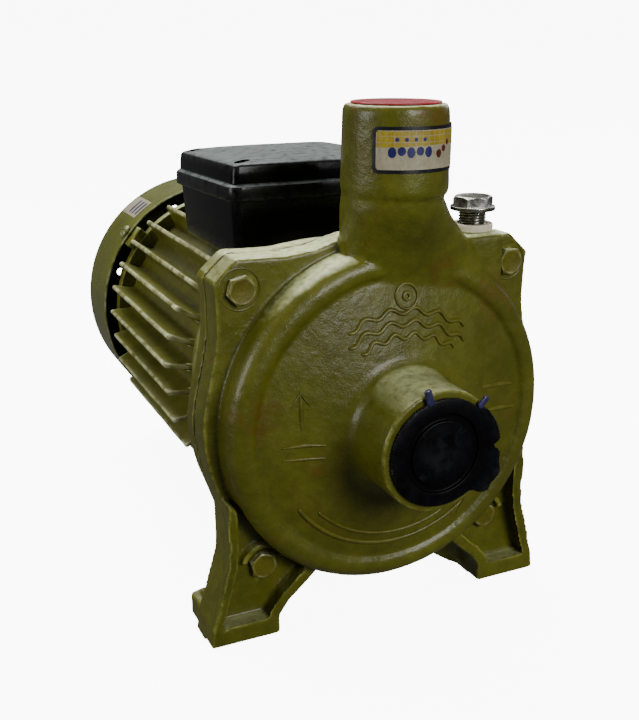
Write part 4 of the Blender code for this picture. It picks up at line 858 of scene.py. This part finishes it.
def build_priming_plug():
    place = upright(*PRIMING)
    turned = place @ Matrix.Rotation(math.radians(12), 4, "Z")
    head = hex_head(turned, 9.7, 199.6, 204.6, 0.0, 0.9, 0.5)
    collar = disc(10.7, 198.0, 199.9, place, 96, 0.5)
    screw = thread(place, 6.6, 0.62, 182.6, 198.4, 1.34)
    finished("priming_plug_visual", part(head, collar, screw), ZINC, "priming_plug", "priming_plug",
             crease=28)
    washer = lathe(eased([(6.95, 188.35), (9.9, 188.35), (9.9, 191.8), (6.95, 191.8)], 0.7, 4), place, 72)
    finished("priming_washer_visual", part(washer), FIBRE, "priming_washer")


def build_casing_bolts():
    for i, (x, z) in enumerate(BOLTS, 1):
        turn = Matrix.Rotation(math.radians(17 * i), 4, "Y")
        place = Matrix.Translation((x, 0, z)) @ turn @ Matrix.Translation((0, 0, -AXIS)) @ SHAFT
        head = hex_head(place, 7.0, -18.7, -15.9, 0.7, 0.0, 0.3)
        washer_face = disc(6.3, -16.1, -15.3, place, 64, 0.2)
        shank = thread(place, 4.0, 0.3, -15.6, 10.5, 1.25, 48)
        finished(f"casing_bolt_visual_{i}", part(head, washer_face, shank), BOLT_PAINT,
                 f"casing_bolt_{i}", crease=28)


def build_gasket():
    outline = whole(FLANGE_TOP[2:] + FLANGE_SIDE + EAR_OUTLINE + RING_BOTTOM)
    gasket = part(slab(eased(inset(outline, 0.5), 1.5, 3), -0.5, 0.5, ease_low=0.2, ease_high=0.2))
    carve(gasket, disc(75, -3, 3), *[disc(4.6, -3, 3, level(x, z), 32) for x, z in BOLTS])
    finished("casing_gasket_visual", gasket, RUBBER, "casing_gasket")


# Motor bracket
def tie_rod_holes(low, high):
    places = [polar(angle, TIE_ROD_CIRCLE) for angle in (45, 135, 225, 315)]
    return [disc(SCREW_HOLE, low, high, level(x, AXIS + z), 24) for x, z in places]


def build_bracket():
    outline = whole([(23, 186.6)] + FLANGE_TOP[3:] + eased(FLANGE_SIDE, 5, 3, True) + EAR_OUTLINE
                    + RING_BOTTOM)
    plate = slab(eased(outline, 2.0, 3), 0.8, 10.8, ease_high=1.6)
    barrel = lathe([(0, 1), (62, 1), (63.5, 9), (65, 14), (65, 70), (0, 70)], sides=160)
    bracket = cast(part(plate, barrel), BRACKET_VOXEL, 3, 0.6, 0.14)
    keep_inside(bracket, 1, low=0.8, high=70.0)
    inside = lathe([(0, 0), (17, 0), (17, 13), (57, 13), (57, 50), (27, 50), (24, 43), (14, 43),
                    (14, 45.5), (20.15, 45.5), (20.15, 60), (27, 60), (27, 58), (60, 58), (60, 71),
                    (0, 71)], sides=120)
    window = slab(rounded_rect(-18, 18, 20, 42, 4.0), AXIS - 90, AXIS - 30, TOP)
    bolts = [disc(4.35, -1, 14, level(x, z), 32) for x, z in BOLTS]
    carve(bracket, inside, window, *bolts)
    carve(bracket, *tie_rod_holes(51.5, 71))

    def bearing_seat(centre, normal):
        return centre.y > 43 and math.hypot(centre.x, centre.z - AXIS) < 20.3

    web = lathe(eased([(8.6, 27), (8.6, 24), (13.3, 24), (13.3, 13.5), (16.8, 13.5), (22, 13.5),
                       (22, 27)], 0.6, 3), sides=96)
    finished("bracket_visual", bracket, CASTING, "motor_bracket", extra=[(RAW_IRON, bearing_seat)])
    finished("bracket_seal_wall", part(web), CASTING)


# Motor frame
FIN_ANGLES = (-58, -46, -34, -22, -10, 2, 14, 26, 38, 50, 62, 74)
LOW_FINS = {-22: 80.5, -34: 82.5, -46: 82.0}


def frame_row(y):
    """The finned outline at a depth, each fin's front end cut back at a slant."""
    ramp = min(1.0, max(0.0, (y - 76.9) / 8.5))
    under_box = 43.5 < y < 136.5
    row = []
    angles = list(FIN_ANGLES) + [90] + [180 - a for a in reversed(FIN_ANGLES)]
    for n, angle in enumerate(angles):
        tip = LOW_FINS.get(angle if angle <= 90 else 180 - angle, 78.0)
        reach = 64.0 + (tip - 64.0) * ramp + 0.35 * noise.noise(Vector((y * 0.05, angle, 0)))
        bend = 0.25 * noise.noise(Vector((y * 0.03, angle, 7)))
        flank = [(63.6, 4.2), (64.0, 3.2), (65.0, 2.35), (67, 1.95), ((reach + 66) / 2, 1.7),
                 (reach - 1.6, 1.45), (reach - 0.7, 1.25), (reach - 0.15, 0.7)]
        section = [(radius, -across) for radius, across in flank] + [(reach, 0)] + flank[::-1]
        for radius, across in section:
            radius = min(radius, reach + 0.001 * across)
            along = polar(angle, radius)
            side = polar(angle + 90, across + bend * (radius - 64) / 14)
            row.append([along[0] + side[0], AXIS + along[1] + side[1]])
        following = angles[n + 1] if n < len(angles) - 1 else angles[0] + 360
        steps = 3 if following - angle < 20 else 20
        for i in range(1, steps):
            x, z = polar(angle + 5 + (following - angle - 10) * i / steps, 63.7)
            row.append([x, AXIS + z])
    for point in row:
        if under_box and abs(point[0]) < 51:
            point[1] = min(point[1], 169.2)
    return [Vector((x, y, z)) for x, z in row]


def build_motor_frame():
    depths = [76.0] + [76.9 + 0.95 * i for i in range(10)] + [92 + 6.3 * i for i in range(8)]
    depths = [y for y in depths if y < 135.5] + [136.3, 136.6] + [143 + 6.3 * i for i in range(10)]
    depths += [204.5, 206.2, 207]
    fins = skin([frame_row(y) for y in depths])
    frame_object = part(fins)
    carve(frame_object, disc(58.3, 60, 215, sides=120))
    ring = lathe(eased([(58.3, 70.3), (65, 70.3), (65, 77.6), (63.5, 79), (58.3, 79)], 0.8, 3), sides=160)
    pad = slab(rounded_rect(-32, 32, 77.6, 130, 4), 160, 169.5, TOP, ease_high=0.6)
    foot = slab(rounded_rect(-16, 16, 90, 124, 3), 37.5, 44.6, TOP, ease_low=1.0)
    finished("motor_frame_visual", frame_object, FRAME_PAINT, "motor_frame", crease=40)
    finished("motor_frame_ring", part(ring, foot), FRAME_PAINT)
    block = part(pad)
    carve(block, disc(63.0, 70, 140, sides=96), disc(6, 150, 175, upright(6, 103), 48))
    finished("motor_frame_pad", block, FRAME_PAINT)


def pan_screw(place, radius, base, top, shank, low):
    """A domed screw head with a cross recess and a threaded shank."""
    dome = [(0, top), (radius * 0.4, top - (top - base) * 0.06),
            (radius * 0.75, top - (top - base) * 0.25), (radius * 0.95, top - (top - base) * 0.55),
            (radius, base + (top - base) * 0.15), (radius * 0.97, base), (0, base)]
    head = part(lathe(dome, place, 64))
    for turn in (0, 90):
        bar = slab(rounded_rect(-radius * 0.55, radius * 0.55, -radius * 0.12, radius * 0.12,
                                radius * 0.1, 3), top - (top - base) * 0.55, top + 1,
                   place @ Matrix.Rotation(math.radians(turn + 20), 4, "Z"))
        carve(head, bar)
    return head, thread(place, shank, 0.25, low, base + 0.2, 1.0, 32)


def radial(angle, y):
    """A place whose local Z points outwards from the shaft."""
    return Matrix.Translation((0, y, 0)) @ around(90 - angle)


def build_cowl():
    bend = 7.0
    outside = [(79.8 - bend + bend * math.cos(a), 265.4 - bend + bend * math.sin(a))
               for a in (math.pi / 2 * i / 10 for i in range(11))]
    small = bend - 1.2
    inside = [(79.8 - bend + small * math.cos(a), 265.4 - bend + small * math.sin(a))
              for a in (math.pi / 2 * i / 10 for i in range(10, -1, -1))]
    lip = [(78.7, 216.0), (78.8, 215.5), (79.25, 215.4), (79.7, 215.6), (79.8, 216.2)]
    wall = [(79.8, 216.2 + (258.4 - 216.2) * i / 7) for i in range(1, 7)]
    back = [(60, 265.4), (30, 265.2), (26, 264.8), (0, 264.8)]
    front_back = [(0, 263.6), (26, 263.6), (30, 264.0), (60, 264.2)]
    inner_wall = [(78.6, 258.4 - (258.4 - 216.2) * i / 7) for i in range(1, 7)]
    profile = front_back + inside + inner_wall + lip + wall + outside + back

    def dented(index, angle, radius):
        """The sheet is drawn in a little at each screw."""
        if radius < 78 or profile[index][1] > 236:
            return radius
        turn = -math.degrees(angle) % 360
        near = min(abs((turn - a + 180) % 360 - 180) for a in SCREW_ANGLES)
        along = max(0.0, 1 - abs(profile[index][1] - SCREW_Y) / 14)
        return radius - 0.25 * math.exp(-(near / 6) ** 2) * along

    cowl = part(lathe(profile, SHAFT, 192, dented))
    slots = []
    for i in range(12):
        slots.append(slab(rounded_rect(-2.5, 2.5, 27, 61, 2.4, 6), 260, 270, around(30 * i + 15) @ FRONT))
    holes = [disc(SCREW_HOLE, 76, 84, radial(angle, SCREW_Y), 24) for angle in SCREW_ANGLES]
    carve(cowl, *slots, *holes)
    finished("fan_cowl_visual", cowl, SHEET_PAINT, "fan_cowl")
    for i, angle in enumerate(SCREW_ANGLES, 1):
        head, shank = pan_screw(radial(angle, SCREW_Y), 4.4, 80.15, 82.7, 2.35, 73)
        join(head, part(shank))
        finished(f"cowl_screw_visual_{i}", head, SHEET_PAINT, f"cowl_screw_{i}")
    sticker = [(-(132.5 - 11 * i / 20), 226.5, 262 - 3 * abs(i / 20 - 0.5)) for i in range(21)]
    sticker = [(angle, low, min(high, 257)) for angle, low, high in sticker]
    finished("cowl_sticker", part(patch(sticker, SHAFT, 79.84, 0.12, 6)), LABEL_WHITE)
    stripes = [patch([(-(131.0 - 8 * i / 12), y, y + 2.4) for i in range(13)], SHAFT, 79.95, 0.08, 1)
               for y in (230, 236.5, 243)]
    finished("cowl_sticker_bars", part(*stripes), LABEL_BLUE)


def build_rear_shield():
    shield = part(lathe(eased([(7.7, 221.3), (22, 221.3), (24, 214), (72.5, 214), (72.5, 207.4),
                               (27, 207.4), (23.5, 203.6), (17.75, 203.6), (17.75, 217.4), (7.7, 217.4)],
                              0.8, 3), sides=144))
    carve(shield, *tie_rod_holes(205, 216))
    profile = eased([(207.8, 60), (207.8, 77.8), (228, 77.8), (228, 71.2), (213.4, 71.2), (213.4, 60)],
                    1.2, 4)
    for angle in SCREW_ANGLES:
        lug = part(slab(profile, -7, 7, around(90 - angle) @ SIDE, 0.8, 0.8))
        carve(lug, disc(SCREW_HOLE, 72.6, 82, radial(angle, SCREW_Y), 24))
        join(shield, lug)
    finished("rear_shield_visual", shield, CASTING, "rear_shield")


def build_fan():
    hub = lathe(eased([(7.1, 248.2), (11.5, 248.2), (12.5, 233), (67.6, 232.4), (67.6, 230.4),
                       (11.5, 230.4), (11.5, 225), (7.1, 225)], 0.5, 3), sides=120)
    blades = []
    for i in range(7):
        outline = eased([(231, 11), (247, 11), (247, 58), (241, 68), (231, 68)], 3.0, 4)
        blades.append(slab(outline, -0.9, 0.9, around(360 * (i + 0.5) / 7) @ SIDE, 0.4, 0.4))
    finished("fan_visual", part(hub, *blades), BLACK, "fan", "rotor")


# Terminal box
def box_rows(levels):
    """Rings of half a width, a corner radius, a height, and half a length where it isn't 5 shorter."""
    rows = []
    for half, corner, z, *length in levels:
        reach = length[0] if length else half - 5
        outline = rounded_rect(-half, half, BOX_Y - reach, BOX_Y + reach, corner)
        rows.append([Vector((x, y, z)) for x, y in outline])
    return rows


def build_terminal_box():
    outside = [(46.6, 4.0, 169.8), (47.8, 5.0, 170.3), (48.2, 5.2, 171.5),
               (48.6, 5.2, 178), (49.1, 5.2, 186), (49.7, 5.2, 198),
               (50.0, 5.2, 203.5), (49.7, 5.0, 204.0)]
    inside = [(47.7, 3.2, 204.0), (47.5, 3.0, 203.5), (46.4, 3.0, 174.4),
              (45.4, 2.6, 172.8)]
    rows = box_rows(outside + inside)
    base = part(skin([[Vector((0, BOX_Y, 169.8))]] + rows + [[Vector((0, BOX_Y, 172.8))]]))
    carve(base, disc(6, 165, 175, upright(6, 103), 48), disc(8.2, 40, 60, GLAND_LINE, 48),
          *[disc(2.3, 165, 175, upright(6, y), 24) for y in (85, 121)])
    columns = [lathe(eased([(2.2, 172.4), (5.2, 172.4), (5.2, 204.0), (2.2, 204.0)], 0.3, 2),
                     upright(x, y), 40) for x, y in LID_SCREWS]
    join(base, part(*columns))
    finished("terminal_box_base_visual", base, BLACK, "terminal_box_base")
    band = [(50.3, 5.4, 198.6), (51.8, 6.6, 198.6), (52.4, 7.2, 199.2),
            (52.5, 7.4, 200.4), (52.5, 7.4, 204.6), (52.2, 7.2, 205.6),
            (51.4, 6.6, 206.2), (50.6, 5.0, 206.4), (50.0, 4.0, 207.0),
            (49.8, 3.6, 212), (49.4, 3.4, 217.2), (49.0, 3.2, 218.0),
            (48.2, 3.0, 218.5), (46.6, 2.6, 218.7), (34, 2.4, 218.9, 30),
            (18, 2.0, 219.0, 15)]
    under = [(18, 3.5, 217.4, 15), (44.6, 4.0, 216.6), (47.2, 4.0, 215.4),
             (47.5, 4.0, 206.0), (50.2, 5.3, 205.8)]
    middle = [[Vector((0, BOX_Y, 219.0))], [Vector((0, BOX_Y, 217.5))]]
    rows = box_rows(band) + middle + box_rows(under)
    lid = part(skin(rows, closed=True))
    carve(lid, *[disc(4.0, 216.4, 222, upright(x, y), 40) for x, y in LID_SCREWS])
    carve(lid, *[disc(2.2, 204, 222, upright(x, y), 24) for x, y in LID_SCREWS])
    for vertex in lid.data.vertices:
        rise = min(max((vertex.co.z - 207) / 10, 0), 1)
        vertex.co.z += (2.0 - 5.0 * (vertex.co.x / 50) ** 2) * rise + (BOX_Y - vertex.co.y) * LID_LEAN
    finished("terminal_box_lid_visual", lid, BLACK, "terminal_box_lid")
    for i, (x, y) in enumerate(LID_SCREWS, 1):
        lean = (BOX_Y - y) * LID_LEAN
        head, shank = pan_screw(upright(x, y), 3.6, 213.6 + lean, 215.4 + lean, 1.9, 188)
        join(head, part(shank))
        finished(f"lid_screw_visual_{i}", head, ZINC, f"lid_screw_{i}")


def build_gland():
    body = lathe(eased([(5, 45), (7.8, 45), (7.8, 50.6), (8.6, 50.6), (8.6, 62), (5, 62)], 0.4, 3),
                 GLAND_LINE, 72)
    collar = part(hex_head(GLAND_LINE, 11.5, 50.3, 55, 0.7, 0.7))
    carve(collar, disc(8.2, 48, 58, GLAND_LINE, 72))
    join(collar, part(body))
    finished("cable_gland_body_visual", collar, GREY, "cable_gland_body", crease=28)
    profile = [(4.5, 70), (8, 70), (9.6, 68.6), (11, 66), (11.4, 64), (11.4, 56.4), (11.0, 56),
               (8.95, 56), (8.95, 63), (4.5, 67)]

    def ribbed(index, angle, radius):
        return radius - (0.45 * (0.5 + 0.5 * math.cos(24 * angle)) if radius > 10.8 else 0)

    finished("cable_gland_nut_visual", part(lathe(profile, GLAND_LINE, 192, ribbed)), GREY,
             "cable_gland_nut")


# Motor support
def build_support():
    outer = [(18, 37.2), (27, 3), (39, 3), (39, 0), (24.6, 0), (15.6, 34.2)]
    support = part(slab(eased(whole(outer), 1.8, 4), 92, 122, ease_low=0.4, ease_high=0.4))
    holes = [disc(3.3, 30, 40, upright(0, y), 32) for y in (100, 114)]
    holes += [disc(3.0, -2, 6, upright(side * 33, 107), 32) for side in (-1, 1)]
    carve(support, *holes)
    finished("motor_support_visual", support, SHEET_PAINT, "motor_support")
    for i, y in enumerate((100, 114), 1):
        head = hex_head(upright(0, y), 5.6, 29.9, 33.7, 0.6, 0.0, 0.3)
        collar = disc(5.2, 33.4, 33.95, upright(0, y), 48)
        screw = thread(upright(0, y), 2.9, 0.25, 33.6, 44.0, 1.0, 32)
        screw_shape = part(head, collar, screw)
        finished(f"support_screw_visual_{i}", screw_shape, ZINC, f"support_screw_{i}", crease=28)


# Studio
BACKDROP_GLOW = 9.0
WORLD_STRENGTH = 0.12


def light(name, place, target, size, power):
    data = bpy.data.lights.new(name, "AREA")
    data.shape = "SQUARE"
    data.size = size
    data.energy = power
    made = bpy.data.objects.new(name, data)
    made.location = place
    made.rotation_euler = (Vector(target) - Vector(place)).to_track_quat("-Z", "Y").to_euler()
    bpy.context.scene.collection.objects.link(made)


def build_studio():
    backdrop = Finish("backdrop_paper", Roughness=0.9, Specular_IOR_Level=0.1)
    tone = backdrop.span(backdrop.noise(3.0, 3.0), 0.3, 0.7)
    paper = backdrop.blend(tone, (0.84, 0.84, 0.84), (0.88, 0.88, 0.88))
    backdrop.put(backdrop.shader, {"Base Color": paper, "Emission Color": (1, 1, 1),
                                   "Emission Strength": BACKDROP_GLOW})
    shape = lathe([(0, -0.1)] + [(r, -0.1) for r in (200, 600, 1400)]
                  + [(1400 + 900 * math.sin(a), 899.9 - 900 * math.cos(a))
                     for a in (0.2, 0.5, 0.8, 1.1, 1.4)]
                  + [(2300, 2600), (2400, 2600), (2400, -60), (0, -60)], TOP, 96)
    floor = part(shape)
    floor.data.materials.append(backdrop.material)
    floor.data.transform(TO_ROW)
    floor.data.shade_smooth()
    floor.name = "studio_floor"
    floor.visible_diffuse = False
    floor.visible_glossy = False
    world = bpy.data.worlds.new("studio")
    bpy.context.scene.world = world
    world.use_nodes = True
    background = world.node_tree.nodes["Background"]
    background.inputs["Color"].default_value = (1, 1, 1, 1)
    background.inputs["Strength"].default_value = WORLD_STRENGTH
    light("overhead_softbox", (-0.1, 0.5, 1.25), (0, 0, 0.1), 0.9, 26)
    light("right_rear_fill", (1.3, 0.9, 0.8), (0, 0, 0.1), 0.8, 7)
    light("left_softbox", (-1.2, 0.0, 0.45), (0, 0, 0.12), 0.5, 9)
    light("front_fill", (0.3, -1.45, 0.75), (0, 0, 0.12), 0.6, 23)


build_casing()
build_relief()
build_label()
build_port_plugs()
build_priming_plug()
build_casing_bolts()
build_gasket()
build_bracket()
build_motor_frame()
build_cowl()
build_rear_shield()
build_fan()
build_terminal_box()
build_gland()
build_support()
build_studio()
